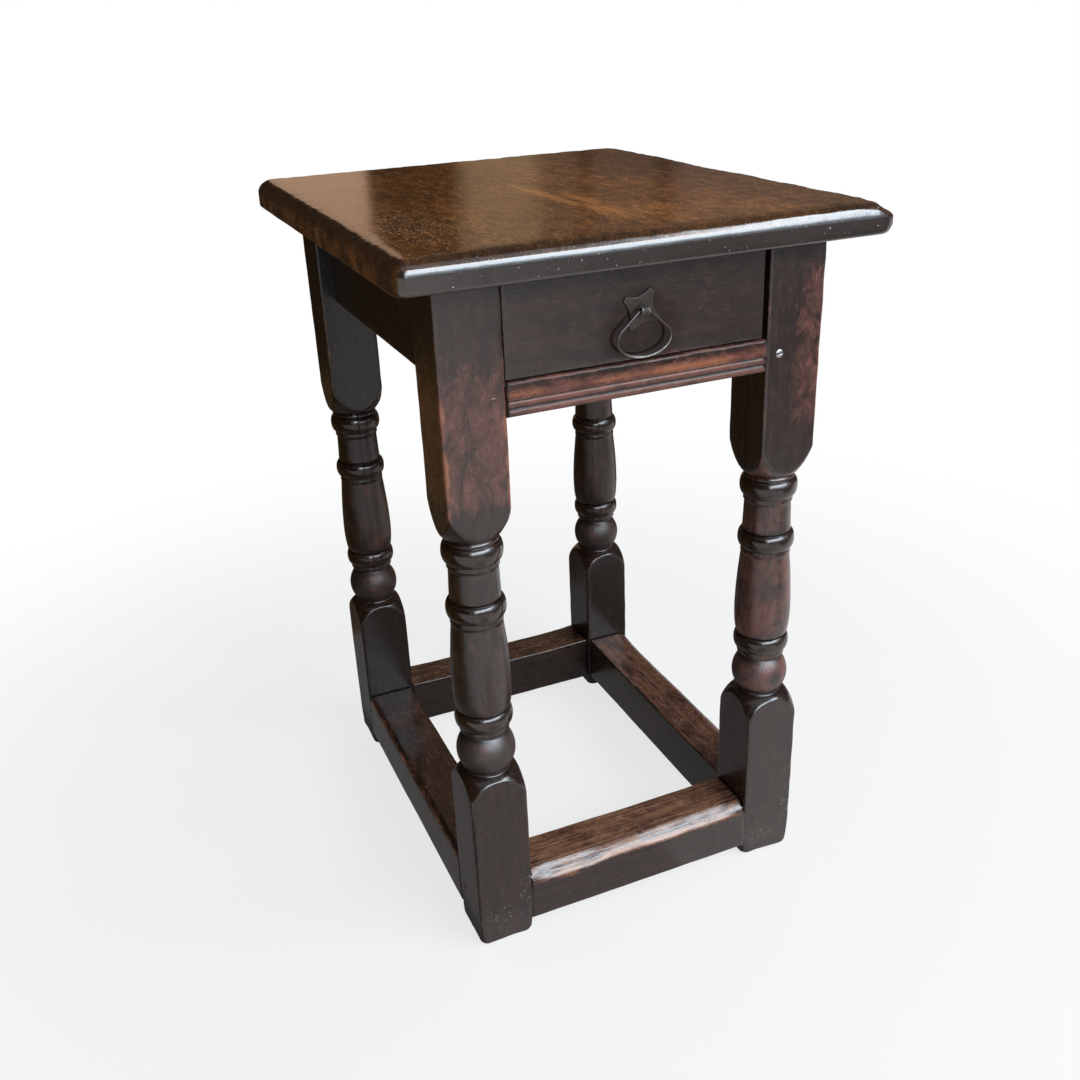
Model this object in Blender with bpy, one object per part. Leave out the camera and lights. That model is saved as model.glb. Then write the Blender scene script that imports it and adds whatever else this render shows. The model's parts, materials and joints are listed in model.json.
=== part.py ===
"""Joined oak side table on turned legs, with a box stretcher and one drawer.

Metres, +Z up. The origin is on the floor under the middle of the table, +X is to the right of someone
facing the drawer, and the drawer front faces -Y. The stretchers stack up from the floor and everything
else hangs down from the top, so a change of height is taken up by the square blocks above the stretchers.
"""
import math
from collections import namedtuple

import bmesh
import bpy
from mathutils import Matrix, Vector

# Overall sizes
TABLE_HEIGHT = 0.6096
TOP_WIDTH = 0.385
TOP_DEPTH = 0.455

# Fits
SEAT_GAP = 0.0003            # between pieces that touch
MORTISE_SPARE = 0.0015       # depth of a mortise or bore beyond what fills it
TENON_CLEARANCE = 0.0020     # end of a tenon to the cheek of the tenon that crosses it
PEG_CLEARANCE = 0.0040       # end of a peg to the peg that crosses it
CUT_PAST = 0.0020            # how far a cutter runs past the face that it opens
ROOT_DEPTH = 0.0080          # how far a tenon or tongue is rooted in its own piece

# Top
TOP_THICKNESS = 0.024
TOP_OVERHANG = 0.0335        # beyond the outer faces of the legs
TOP_CORNER_RADIUS = 0.020
TOP_WORN_CORNER_RADIUS = 0.030   # back right, worn rounder than the others
TOP_EDGE_ROUND = 0.011
TOP_LOWER_ARRIS = 0.0050

# Legs
LEG_SQUARE = 0.050
LEG_ARRIS = 0.0016
FOOT_HEIGHT = 0.0145         # floor to the underside of the stretchers
FOOT_WEAR = 0.0060
LEG_FACETS = 20

# Turning, from the upper block down
UPPER_BLOCK_SKIRT = 0.066    # underside of the drawer rail to the top of the pommel
POMMEL_RISE = 0.030
POMMEL_FOOT_RADIUS = 0.0205
POMMEL_FULLNESS = 1.3        # 1 is a straight chamfer, 2 a quarter ellipse
POMMEL_QUIRK_HEIGHT = 0.0020
POMMEL_QUIRK_RADIUS = 0.0212
RING_RADIUS = 0.0242
RING_ROOT_RADIUS = 0.0205
TOP_RING_HEIGHT = 0.0175
FILLET_HEIGHT = 0.0046
FILLET_RADIUS = 0.0208
COLUMN_HEIGHT = 0.0275
COLUMN_TOP_RADIUS = 0.0200
COLUMN_FOOT_RADIUS = 0.0213
MIDDLE_RING_HEIGHT = 0.0180
BALUSTER_FILLET_RADIUS = 0.0219
BALUSTER_TOP_RADIUS = 0.0208
BALUSTER_RISE = 0.0555       # belly to the fillet over it
BALUSTER_BELLY_RADIUS = 0.0244
BALUSTER_FOOT_RISE = 0.0240
BALUSTER_FOOT_RADIUS = 0.0213
LOW_RING_HEIGHT = 0.0152
BALL_NECK_HEIGHT = 0.0040
BALL_NECK_RADIUS = 0.0180
BALL_RADIUS = 0.0247
SHOULDER_NECK_HEIGHT = 0.0035
SHOULDER_NECK_RADIUS = 0.0195
SHOULDER_RISE = 0.027
SHOULDER_FULLNESS = 1.65

# Steps along the curves of the turning
SWELL_STEPS = 5
RING_STEPS = 4
BALUSTER_FOOT_STEPS = 3
BALUSTER_RISE_STEPS = 5
BALL_STEPS = 6

# Stretchers
STRETCHER_HEIGHT = 0.050
STRETCHER_WIDTH = 0.048
STRETCHER_OUTER_WEAR = 0.012
STRETCHER_ARRIS = 0.0020
STRETCHER_TENON_HEIGHT = 0.034
FLUSH_TENON_THICKNESS = 0.014
FLUSH_TENON_SETBACK = 0.010  # outer face of a leg to the cheek of a flush member's tenon

# Drawer rail
DRAWER_RAIL_HEIGHT = 0.026
DRAWER_RAIL_DEPTH = 0.045
DRAWER_RAIL_TENON_HEIGHT = 0.018
DRAWER_RAIL_WEAR = 0.0022    # round of the upper front arris
DRAWER_RAIL_WEAR_STEPS = 3
BEADS = 2
BEAD_HEIGHT = 0.0052
BEAD_QUIRK = 0.0010
BEAD_SINK = 0.0012
BEAD_STEPS = 4

# Side and back rails
RAIL_HEIGHT = 0.084
RAIL_THICKNESS = 0.020
RAIL_RECESS = 0.015          # outer face of a leg to the outer face of a rail
RAIL_ARRIS = 0.0010
RAIL_TENON_THICKNESS = 0.012
RAIL_TENON_HAUNCH = 0.010    # cut away at the top of the tenon
RAIL_TENON_SHOULDER = 0.006  # cut away at the bottom of the tenon

# Drawer
DRAWER_FRONT_HEIGHT = 0.0725
DRAWER_FRONT_THICKNESS = 0.020
DRAWER_FRONT_ARRIS = 0.0008
DRAWER_GAP_UNDER = 0.0015
DRAWER_GAP_OVER = 0.0020
DRAWER_GAP_LEFT = 0.0008
DRAWER_GAP_RIGHT = 0.0048    # the front has shrunk away from the right leg
DRAWER_SIDE_THICKNESS = 0.010
DRAWER_SIDE_DROP = 0.006     # top of the front down to the top of the sides
DRAWER_SIDE_LAP = 0.011
DRAWER_BACK_THICKNESS = 0.010
DRAWER_BOTTOM_THICKNESS = 0.008
DRAWER_BOTTOM_LAP = 0.010
DRAWER_BOTTOM_INSET = 0.0004

# Drawer runners, guides and stops
RUNNER_WIDTH = 0.024
RUNNER_HEIGHT = 0.014
RUNNER_TONGUE_LENGTH = 0.008
RUNNER_TONGUE_HEIGHT = 0.006
RUNNER_TONGUE_SHOULDER = 0.004
GUIDE_HEIGHT = 0.018
STOP_LENGTH = 0.014
STOP_WIDTH = 0.020
STOP_HEIGHT = 0.016
STOP_RISE = 0.016            # runners up to the underside of the stops
STOP_INSET = 0.045           # inner face of a leg to the middle of the stop

# Glue blocks under the top
BLOCK_SQUARE = 0.012
BLOCK_LENGTH = 0.040
BLOCK_CHAMFER = 0.006
SIDE_BLOCK_INSET = 0.064     # inner face of a leg to the middle of a block
BACK_BLOCK_INSET = 0.049

# Pegs and nails
PEG_DIAMETER = 0.008
PEG_PROUD = 0.0003
PEG_FACETS = 10
STRETCHER_PEG_INSET = 0.010  # inner face of a leg to the middle of the peg
RAIL_PEG_INSET = 0.0085
RAIL_PEG_OFFSET = 0.012      # above the middle of a side rail, below the middle of the back rail
DRAWER_RAIL_PEG_INSET = 0.0095
NAIL_HEAD = 0.0040
NAIL_HEAD_THICKNESS = 0.0010
NAIL_SHANK = 0.0018
NAIL_TIP = 0.0008
NAIL_LENGTH = 0.020
NAIL_SPREAD = 0.030
NAIL_SUNK = 0.0002

# Screw that holds the drawer rail's right tenon
SCREW_HEAD_DIAMETER = 0.0072
SCREW_HEAD_DEPTH = 0.0030
SCREW_HEAD_DOME = 0.0008
SCREW_DOME_STEPS = 3
SCREW_SHANK_DIAMETER = 0.0040
SCREW_LENGTH = 0.032
SCREW_POINT = 0.0040
SCREW_SLOT_WIDTH = 0.0011
SCREW_SLOT_DEPTH = 0.0012
SCREW_INSET = 0.0118
SCREW_FACETS = 16

# Drop handle
HANDLE_RISE = 0.037          # underside of the drawer front to the middle of the eye
HANDLE_SHIFT = 0.0008        # right of the middle of the drawer front
PLATE_POINT_RADIUS = 0.0162
PLATE_WAIST_RADIUS = 0.0098
PLATE_POINT_WIDTH = 0.0042
PLATE_THICKNESS = 0.0012
PLATE_TURN = math.radians(58)
PLATE_POINTS = 4
PLATE_SIDE_STEPS = 7
EYE_WIDTH = 0.0062
EYE_STRIP = 0.0013
EYE_BORE_RADIUS = 0.0022
EYE_SLIT = 0.0004
EYE_CLENCH = 0.010
EYE_STEPS = 16
DROP_WIRE_DIAMETER = 0.0026
DROP_WIDTH = 0.0438
DROP_LENGTH = 0.0335
DROP_BOWL = 0.0134           # widest place of the drop down to its lowest
DROP_BAR = 0.0088
DROP_STEPS = 40

# Shading and edge tests
SMOOTH_BELOW = math.radians(32)
ALIGNED = 0.999
COINCIDENT = 1e-6

# Planes that several pieces share
OUTER_X = TOP_WIDTH / 2 - TOP_OVERHANG
OUTER_Y = TOP_DEPTH / 2 - TOP_OVERHANG
INNER_X = OUTER_X - LEG_SQUARE
INNER_Y = OUTER_Y - LEG_SQUARE
LEG_X = OUTER_X - LEG_SQUARE / 2
LEG_Y = OUTER_Y - LEG_SQUARE / 2
RAIL_INNER_X = OUTER_X - RAIL_RECESS - RAIL_THICKNESS
RAIL_INNER_Y = OUTER_Y - RAIL_RECESS - RAIL_THICKNESS

TOP_UNDER = TABLE_HEIGHT - TOP_THICKNESS
LEG_TOP = TOP_UNDER - SEAT_GAP
DRAWER_OVER = TOP_UNDER - DRAWER_GAP_OVER
DRAWER_UNDER = DRAWER_OVER - DRAWER_FRONT_HEIGHT
DRAWER_RAIL_OVER = DRAWER_UNDER - DRAWER_GAP_UNDER
DRAWER_RAIL_UNDER = DRAWER_RAIL_OVER - DRAWER_RAIL_HEIGHT
RAIL_UNDER = LEG_TOP - RAIL_HEIGHT
STRETCHER_TOP = FOOT_HEIGHT + STRETCHER_HEIGHT
RUNNER_OVER = DRAWER_UNDER - SEAT_GAP

POMMEL_OVER = DRAWER_RAIL_UNDER - UPPER_BLOCK_SKIRT
POMMEL_UNDER = POMMEL_OVER - POMMEL_RISE
TOP_RING_OVER = POMMEL_UNDER - POMMEL_QUIRK_HEIGHT
COLUMN_OVER = TOP_RING_OVER - TOP_RING_HEIGHT - FILLET_HEIGHT
MIDDLE_RING_OVER = COLUMN_OVER - COLUMN_HEIGHT
BALUSTER_OVER = MIDDLE_RING_OVER - MIDDLE_RING_HEIGHT - FILLET_HEIGHT
BALUSTER_BELLY = BALUSTER_OVER - BALUSTER_RISE
LOW_RING_OVER = BALUSTER_BELLY - BALUSTER_FOOT_RISE
BALL_NECK_OVER = LOW_RING_OVER - LOW_RING_HEIGHT - FILLET_HEIGHT
BALL_OVER = BALL_NECK_OVER - BALL_NECK_HEIGHT
BALL_MIDDLE = BALL_OVER - math.sqrt(BALL_RADIUS ** 2 - BALL_NECK_RADIUS ** 2)
BALL_UNDER = BALL_MIDDLE - math.sqrt(BALL_RADIUS ** 2 - SHOULDER_NECK_RADIUS ** 2)
SHOULDER_OVER = BALL_UNDER - SHOULDER_NECK_HEIGHT
SHOULDER_UNDER = SHOULDER_OVER - SHOULDER_RISE
BLOCK_RADIUS = LEG_SQUARE / math.sqrt(2) + SEAT_GAP

DRAWER_FACE = -OUTER_Y
DRAWER_INSIDE = DRAWER_FACE + DRAWER_FRONT_THICKNESS
DRAWER_LEFT = -INNER_X + DRAWER_GAP_LEFT
DRAWER_RIGHT = INNER_X - DRAWER_GAP_RIGHT
DRAWER_END = RAIL_INNER_Y - STOP_LENGTH - 2 * SEAT_GAP
DRAWER_BOTTOM_OVER = DRAWER_UNDER + DRAWER_BOTTOM_THICKNESS
DRAWER_SIDE_UNDER = DRAWER_BOTTOM_OVER + SEAT_GAP
DRAWER_SIDE_OVER = DRAWER_OVER - DRAWER_SIDE_DROP
DRAWER_LAP_FACE = DRAWER_INSIDE - DRAWER_SIDE_LAP

HANDLE_X = (DRAWER_LEFT + DRAWER_RIGHT) / 2 + HANDLE_SHIFT
HANDLE_Z = DRAWER_UNDER + HANDLE_RISE
PLATE_FACE = DRAWER_FACE - SEAT_GAP - PLATE_THICKNESS
EYE_Y = PLATE_FACE - SEAT_GAP - EYE_STRIP - EYE_BORE_RADIUS
DROP_Z = HANDLE_Z - EYE_BORE_RADIUS + DROP_WIRE_DIAMETER / 2 + SEAT_GAP

FLUSH_TENON_LENGTH = LEG_SQUARE - FLUSH_TENON_SETBACK - FLUSH_TENON_THICKNESS - TENON_CLEARANCE
RAIL_TENON_SETBACK = RAIL_RECESS + (RAIL_THICKNESS - RAIL_TENON_THICKNESS) / 2
RAIL_TENON_LENGTH = LEG_SQUARE - RAIL_TENON_SETBACK - RAIL_TENON_THICKNESS - TENON_CLEARANCE
PEG_LENGTH = LEG_SQUARE - STRETCHER_PEG_INSET - PEG_DIAMETER / 2 - PEG_CLEARANCE

SIDES = {"left": -1, "right": 1}
ENDS = {"front": -1, "back": 1}
NAIL_LEVELS = {"low": -1, "high": 1}

# A mortise and tenon joint: whether its member runs across the table, the heights of the tenon, how far
# its cheek is from the leg's outer face, its thickness and length, and where its peg goes.
Joint = namedtuple("Joint", "across low high setback thickness length peg_inset peg_height")


def stretcher_joint(across):
    """The joint at each end of a stretcher."""
    middle = FOOT_HEIGHT + STRETCHER_HEIGHT / 2
    half = STRETCHER_TENON_HEIGHT / 2
    return Joint(across, middle - half, middle + half, FLUSH_TENON_SETBACK, FLUSH_TENON_THICKNESS,
                 FLUSH_TENON_LENGTH, STRETCHER_PEG_INSET, middle)


def rail_joint(across, peg_offset):
    """The joint at each end of a side rail or the back rail."""
    return Joint(across, RAIL_UNDER + RAIL_TENON_SHOULDER, LEG_TOP - RAIL_TENON_HAUNCH, RAIL_TENON_SETBACK,
                 RAIL_TENON_THICKNESS, RAIL_TENON_LENGTH, RAIL_PEG_INSET,
                 (RAIL_UNDER + LEG_TOP) / 2 + peg_offset)


def drawer_rail_joint():
    """The joint at each end of the drawer rail."""
    middle = (DRAWER_RAIL_UNDER + DRAWER_RAIL_OVER) / 2
    half = DRAWER_RAIL_TENON_HEIGHT / 2
    return Joint(True, middle - half, middle + half, FLUSH_TENON_SETBACK, FLUSH_TENON_THICKNESS,
                 FLUSH_TENON_LENGTH, DRAWER_RAIL_PEG_INSET, middle)


JOINTS = {
    "drawer_rail": drawer_rail_joint(),
    "rail_back": rail_joint(True, -RAIL_PEG_OFFSET),
    "rail_left": rail_joint(False, RAIL_PEG_OFFSET),
    "rail_right": rail_joint(False, RAIL_PEG_OFFSET),
    "stretcher_front": stretcher_joint(True),
    "stretcher_back": stretcher_joint(True),
    "stretcher_left": stretcher_joint(False),
    "stretcher_right": stretcher_joint(False),
}
SCREWED_JOINT = ("drawer_rail", "right", "front")


def make_finish(name, colour, roughness, metallic=0.0):
    """A Principled finish of one colour."""
    finish = bpy.data.materials.new(name)
    finish.use_nodes = True
    finish.diffuse_color = (*colour, 1.0)
    shader = finish.node_tree.nodes["Principled BSDF"]
    shader.inputs["Base Color"].default_value = (*colour, 1.0)
    shader.inputs["Roughness"].default_value = roughness
    shader.inputs["Metallic"].default_value = metallic
    return finish


def attach(piece, origin, parent):
    """Puts an object at a point in the world, under a parent if it has one."""
    bpy.context.collection.objects.link(piece)
    piece.location = Vector(origin)
    if parent:
        piece.parent = parent
        piece.location -= parent.matrix_world.translation


def place(name, form, finish, origin=(0.0, 0.0, 0.0), parent=None):
    """An object from a bmesh in world coordinates, with its origin at a given point."""
    mesh = bpy.data.meshes.new(name)
    form.transform(Matrix.Translation(-Vector(origin)))
    bmesh.ops.recalc_face_normals(form, faces=form.faces[:])
    form.to_mesh(mesh)
    form.free()
    mesh.shade_smooth()
    mesh.set_sharp_from_angle(angle=SMOOTH_BELOW)
    if finish:
        mesh.materials.append(finish)
    piece = bpy.data.objects.new(name, mesh)
    attach(piece, origin, parent)
    return piece


def place_tool(name, form):
    """A hidden cutter, or a hidden piece that is joined on."""
    tool = place(name, form, None)
    tool.hide_render = True
    tool.display_type = "WIRE"
    return tool


def combine(piece, tool, operation):
    """A Boolean of one piece with one hidden tool."""
    step = piece.modifiers.new(tool.name, "BOOLEAN")
    step.operation = operation
    step.solver = "EXACT"
    step.object = tool


def settle_shading():
    """Keeps the flat faces of cut pieces flat to the eye."""
    for piece in bpy.data.objects:
        if piece.modifiers and not piece.hide_render:
            shading = piece.modifiers.new("shading", "WEIGHTED_NORMAL")
            shading.weight = 100
            shading.keep_sharp = True


def add_axis(name, point, parent=None):
    """An empty on a joint's axis."""
    axis = bpy.data.objects.new(name, None)
    axis.empty_display_size = DROP_WIDTH
    attach(axis, point, parent)
    bpy.context.view_layer.update()
    return axis


def add_box(form, corner, other):
    """Adds a box between two opposite corners to a bmesh."""
    low = Vector(map(min, corner, other))
    high = Vector(map(max, corner, other))
    size = Matrix.Diagonal((*(high - low), 1.0))
    bmesh.ops.create_cube(form, matrix=Matrix.Translation((low + high) / 2) @ size)


def box(corner, other):
    """A bmesh of one box."""
    form = bmesh.new()
    add_box(form, corner, other)
    return form


def soften(form, radius, segments, chosen):
    """Rounds the edges that a test picks."""
    bmesh.ops.bevel(form, geom=[edge for edge in form.edges if chosen(edge)], offset=radius,
                    offset_type="OFFSET", segments=segments, profile=0.5, affect="EDGES", material=-1)
    return form


def on_plane(axis, value):
    """A test for edges that lie in a plane across an axis."""
    return lambda edge: all(abs(vert.co[axis] - value) < COINCIDENT for vert in edge.verts)


def along(axis):
    """A test for edges that run along an axis."""
    return lambda edge: abs((edge.verts[1].co - edge.verts[0].co).normalized()[axis]) > ALIGNED


def chain(form, points):
    """Adds a line of edges through points to a bmesh and gives its vertices and edges."""
    verts = [form.verts.new(point) for point in points]
    return verts, [form.edges.new(pair) for pair in zip(verts, verts[1:])]


def revolve(profile, facets):
    """A closed solid from a profile of radius and height that starts and ends on the Z axis."""
    form = bmesh.new()
    verts, edges = chain(form, [(radius, 0.0, height) for radius, height in profile])
    bmesh.ops.spin(form, geom=verts + edges, cent=(0, 0, 0), axis=(0, 0, 1), angle=math.tau,
                   steps=facets, use_merge=True)
    bmesh.ops.remove_doubles(form, verts=form.verts[:], dist=COINCIDENT)
    bmesh.ops.recalc_face_normals(form, faces=form.faces[:])
    return form


def draw_out(form, drawn, vector):
    """Moves what an extrusion has made."""
    verts = [item for item in drawn if isinstance(item, bmesh.types.BMVert)]
    bmesh.ops.translate(form, vec=vector, verts=verts)


def extrude_outline(outline, vector):
    """A prism from an outline of points in one plane, drawn out along a vector."""
    form = bmesh.new()
    face = form.faces.new([form.verts.new(point) for point in outline])
    draw_out(form, bmesh.ops.extrude_face_region(form, geom=[face])["geom"], vector)
    bmesh.ops.recalc_face_normals(form, faces=form.faces[:])
    return form


def rod(start, end, diameter, facets):
    """A bmesh of a round rod between two points."""
    start, end = Vector(start), Vector(end)
    turn = (end - start).to_track_quat("Z", "Y").to_matrix().to_4x4()
    form = bmesh.new()
    bmesh.ops.create_cone(form, cap_ends=True, segments=facets, radius1=diameter / 2, radius2=diameter / 2,
                          depth=(end - start).length, matrix=Matrix.Translation((start + end) / 2) @ turn)
    return form


def swell_points(wide, narrow, root, fullness):
    """The curve from a square block to the turning, between two heights."""
    points = []
    for step in range(SWELL_STEPS + 1):
        turn = math.pi / 2 * step / SWELL_STEPS
        out = math.cos(turn) ** (2 / fullness)
        onward = math.sin(turn) ** (2 / fullness)
        points.append((root + (BLOCK_RADIUS - root) * out, wide + (narrow - wide) * onward))
    return points


def ring_points(over, height):
    """A half-round ring, from its upper edge down."""
    points = []
    for step in range(RING_STEPS + 1):
        turn = math.pi * step / RING_STEPS
        radius = RING_ROOT_RADIUS + (RING_RADIUS - RING_ROOT_RADIUS) * math.sin(turn)
        points.append((radius, over - height * (1 - math.cos(turn)) / 2))
    return points


def baluster_points():
    """The baluster: a long taper down to its belly, then a short round foot."""
    points = []
    for step in range(BALUSTER_RISE_STEPS):
        share = 1 - step / BALUSTER_RISE_STEPS
        swell = math.cos(math.pi / 2 * share)
        radius = BALUSTER_TOP_RADIUS + (BALUSTER_BELLY_RADIUS - BALUSTER_TOP_RADIUS) * swell
        points.append((radius, BALUSTER_BELLY + BALUSTER_RISE * share))
    for step in range(BALUSTER_FOOT_STEPS + 1):
        share = step / BALUSTER_FOOT_STEPS
        swell = math.sqrt(1 - share ** 2)
        radius = BALUSTER_FOOT_RADIUS + (BALUSTER_BELLY_RADIUS - BALUSTER_FOOT_RADIUS) * swell
        points.append((radius, BALUSTER_BELLY - BALUSTER_FOOT_RISE * share))
    return points


def ball_points():
    """The ball, from the neck over it to the neck under it."""
    first = math.acos(BALL_NECK_RADIUS / BALL_RADIUS)
    last = -math.acos(SHOULDER_NECK_RADIUS / BALL_RADIUS)
    turns = [first + (last - first) * step / BALL_STEPS for step in range(BALL_STEPS + 1)]
    return [(BALL_RADIUS * math.cos(turn), BALL_MIDDLE + BALL_RADIUS * math.sin(turn)) for turn in turns]


def leg_profile():
    """The turned outline of a leg, from its top down its outer side to the floor."""
    profile = [(0.0, LEG_TOP + CUT_PAST), (BLOCK_RADIUS, LEG_TOP + CUT_PAST)]
    profile += swell_points(POMMEL_OVER, POMMEL_UNDER, POMMEL_FOOT_RADIUS, POMMEL_FULLNESS)
    profile += [(POMMEL_QUIRK_RADIUS, POMMEL_UNDER), (POMMEL_QUIRK_RADIUS, TOP_RING_OVER)]
    profile += ring_points(TOP_RING_OVER, TOP_RING_HEIGHT)
    profile += [(FILLET_RADIUS, COLUMN_OVER), (COLUMN_TOP_RADIUS, COLUMN_OVER)]
    profile += [(COLUMN_FOOT_RADIUS, MIDDLE_RING_OVER)]
    profile += ring_points(MIDDLE_RING_OVER, MIDDLE_RING_HEIGHT)
    profile += [(BALUSTER_FILLET_RADIUS, BALUSTER_OVER)]
    profile += baluster_points()
    profile += ring_points(LOW_RING_OVER, LOW_RING_HEIGHT)
    profile += [(FILLET_RADIUS, BALL_NECK_OVER), (BALL_NECK_RADIUS, BALL_NECK_OVER)]
    profile += ball_points()
    profile += swell_points(SHOULDER_UNDER, SHOULDER_OVER, SHOULDER_NECK_RADIUS, SHOULDER_FULLNESS)[::-1]
    profile += [(BLOCK_RADIUS, -CUT_PAST), (0.0, -CUT_PAST)]
    return profile


def leg_stick(x, y):
    """The square stick that a leg is turned from, with soft arrises and a worn foot."""
    half = LEG_SQUARE / 2
    form = box((x - half, y - half, 0.0), (x + half, y + half, LEG_TOP))
    soften(form, LEG_ARRIS, 2, along(2))
    return soften(form, FOOT_WEAR, 3, on_plane(2, 0.0))


def joint_point(joint, side_name, end_name, inwards, outwards, height):
    """A point at one leg: how far past its inner face along the member, and how far out of its outer face."""
    side, end = SIDES[side_name], ENDS[end_name]
    if joint.across:
        return side * (INNER_X + inwards), end * (OUTER_Y + outwards), height
    return side * (OUTER_X + outwards), end * (INNER_Y + inwards), height


def tenon_corners(joint, side_name, end_name):
    """Opposite corners of a tenon, rooted in its member."""
    near = joint_point(joint, side_name, end_name, -ROOT_DEPTH, -joint.setback, joint.low)
    far = joint_point(joint, side_name, end_name, joint.length, -joint.setback - joint.thickness, joint.high)
    return near, far


def mortise_corners(joint, side_name, end_name):
    """Opposite corners of the mortise that takes a tenon."""
    near = joint_point(joint, side_name, end_name, -CUT_PAST, SEAT_GAP - joint.setback, joint.low - SEAT_GAP)
    far = joint_point(joint, side_name, end_name, joint.length + MORTISE_SPARE,
                      -SEAT_GAP - joint.setback - joint.thickness, joint.high + SEAT_GAP)
    return near, far


def peg_rod(joint, side_name, end_name):
    """The oak peg of a joint, a little proud of the leg."""
    start = joint_point(joint, side_name, end_name, joint.peg_inset, PEG_PROUD, joint.peg_height)
    stop = joint_point(joint, side_name, end_name, joint.peg_inset, -PEG_LENGTH, joint.peg_height)
    return rod(start, stop, PEG_DIAMETER, PEG_FACETS)


def fixing_bore(member, side_name, end_name):
    """The bore of a joint's peg, or of the screw in its place."""
    if (member, side_name, end_name) == SCREWED_JOINT:
        return screw_turned(screw_hole_profile())
    joint = JOINTS[member]
    depth = PEG_LENGTH + MORTISE_SPARE
    start = joint_point(joint, side_name, end_name, joint.peg_inset, CUT_PAST, joint.peg_height)
    stop = joint_point(joint, side_name, end_name, joint.peg_inset, -depth, joint.peg_height)
    return rod(start, stop, PEG_DIAMETER + 2 * SEAT_GAP, PEG_FACETS)


def members_at(side_name, end_name):
    """The four members that are tenoned into one leg."""
    upper = "drawer_rail" if end_name == "front" else "rail_back"
    return upper, "rail_" + side_name, "stretcher_" + end_name, "stretcher_" + side_name


def make_legs(finish):
    """Four turned legs with the mortises and peg bores of their joints."""
    for side_name, side in SIDES.items():
        for end_name, end in ENDS.items():
            name = "leg_{}_{}".format(end_name, side_name)
            x, y = side * LEG_X, end * LEG_Y
            leg = place(name, leg_stick(x, y), finish, (x, y, 0.0))
            turning = revolve(leg_profile(), LEG_FACETS)
            turning.transform(Matrix.Translation((x, y, 0.0)))
            combine(leg, place_tool(name + "_turning", turning), "INTERSECT")
            mortises = bmesh.new()
            for member in members_at(side_name, end_name):
                add_box(mortises, *mortise_corners(JOINTS[member], side_name, end_name))
            combine(leg, place_tool(name + "_mortises", mortises), "DIFFERENCE")
            for member in members_at(side_name, end_name):
                bore = place_tool("{}_{}_bore".format(name, member), fixing_bore(member, side_name, end_name))
                combine(leg, bore, "DIFFERENCE")


def make_pegs(finish):
    """One oak peg through every mortise and tenon except the screwed one."""
    for side_name in SIDES:
        for end_name in ENDS:
            for member in members_at(side_name, end_name):
                if (member, side_name, end_name) == SCREWED_JOINT:
                    continue
                joint = JOINTS[member]
                head = joint_point(joint, side_name, end_name, joint.peg_inset, PEG_PROUD, joint.peg_height)
                form = peg_rod(joint, side_name, end_name)
                place("peg_{}_{}_{}".format(member, end_name, side_name), form, finish, head)


def add_tenons(piece, member, legs):
    """Adds a member's two tenons and cuts the bores through them."""
    for side_name, end_name in legs:
        label = "{}_{}_{}".format(member, end_name, side_name)
        tenon = box(*tenon_corners(JOINTS[member], side_name, end_name))
        combine(piece, place_tool(label + "_tenon", tenon), "UNION")
        bore = fixing_bore(member, side_name, end_name)
        combine(piece, place_tool(label + "_tenon_bore", bore), "DIFFERENCE")


def wear_stretcher(form, length_axis, face_axis, outer):
    """Rounds a stretcher's long arrises, the outer upper one most."""
    runs, outside, upper = along(length_axis), on_plane(face_axis, outer), on_plane(2, STRETCHER_TOP)
    soften(form, STRETCHER_ARRIS, 2, lambda edge: runs(edge) and not (outside(edge) and upper(edge)))
    soften(form, STRETCHER_OUTER_WEAR, 4, lambda edge: runs(edge) and outside(edge) and upper(edge))


def make_stretchers(finish):
    """Four stretchers flush with the outer faces of the legs, worn round along their outer top arrises."""
    for end_name, end in ENDS.items():
        name = "stretcher_" + end_name
        reach = INNER_X - SEAT_GAP
        outer, inner = end * OUTER_Y, end * (OUTER_Y - STRETCHER_WIDTH)
        form = box((-reach, outer, FOOT_HEIGHT), (reach, inner, STRETCHER_TOP))
        wear_stretcher(form, 0, 1, outer)
        piece = place(name, form, finish, (0.0, outer, FOOT_HEIGHT))
        add_tenons(piece, name, [(side_name, end_name) for side_name in SIDES])
    for side_name, side in SIDES.items():
        name = "stretcher_" + side_name
        reach = INNER_Y - SEAT_GAP
        outer, inner = side * OUTER_X, side * (OUTER_X - STRETCHER_WIDTH)
        form = box((outer, -reach, FOOT_HEIGHT), (inner, reach, STRETCHER_TOP))
        wear_stretcher(form, 1, 0, outer)
        piece = place(name, form, finish, (outer, 0.0, FOOT_HEIGHT))
        add_tenons(piece, name, [(side_name, end_name) for end_name in ENDS])


def make_side_rails(finish):
    """Two deep side rails, set back from the faces of the legs."""
    for side_name, side in SIDES.items():
        name = "rail_" + side_name
        reach = INNER_Y - SEAT_GAP
        outer = side * (OUTER_X - RAIL_RECESS)
        form = box((outer, -reach, RAIL_UNDER), (side * RAIL_INNER_X, reach, LEG_TOP))
        soften(form, RAIL_ARRIS, 1, lambda edge: along(1)(edge) and on_plane(2, RAIL_UNDER)(edge))
        piece = place(name, form, finish, (side * RAIL_INNER_X, 0.0, RAIL_UNDER))
        add_tenons(piece, name, [(side_name, end_name) for end_name in ENDS])


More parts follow.
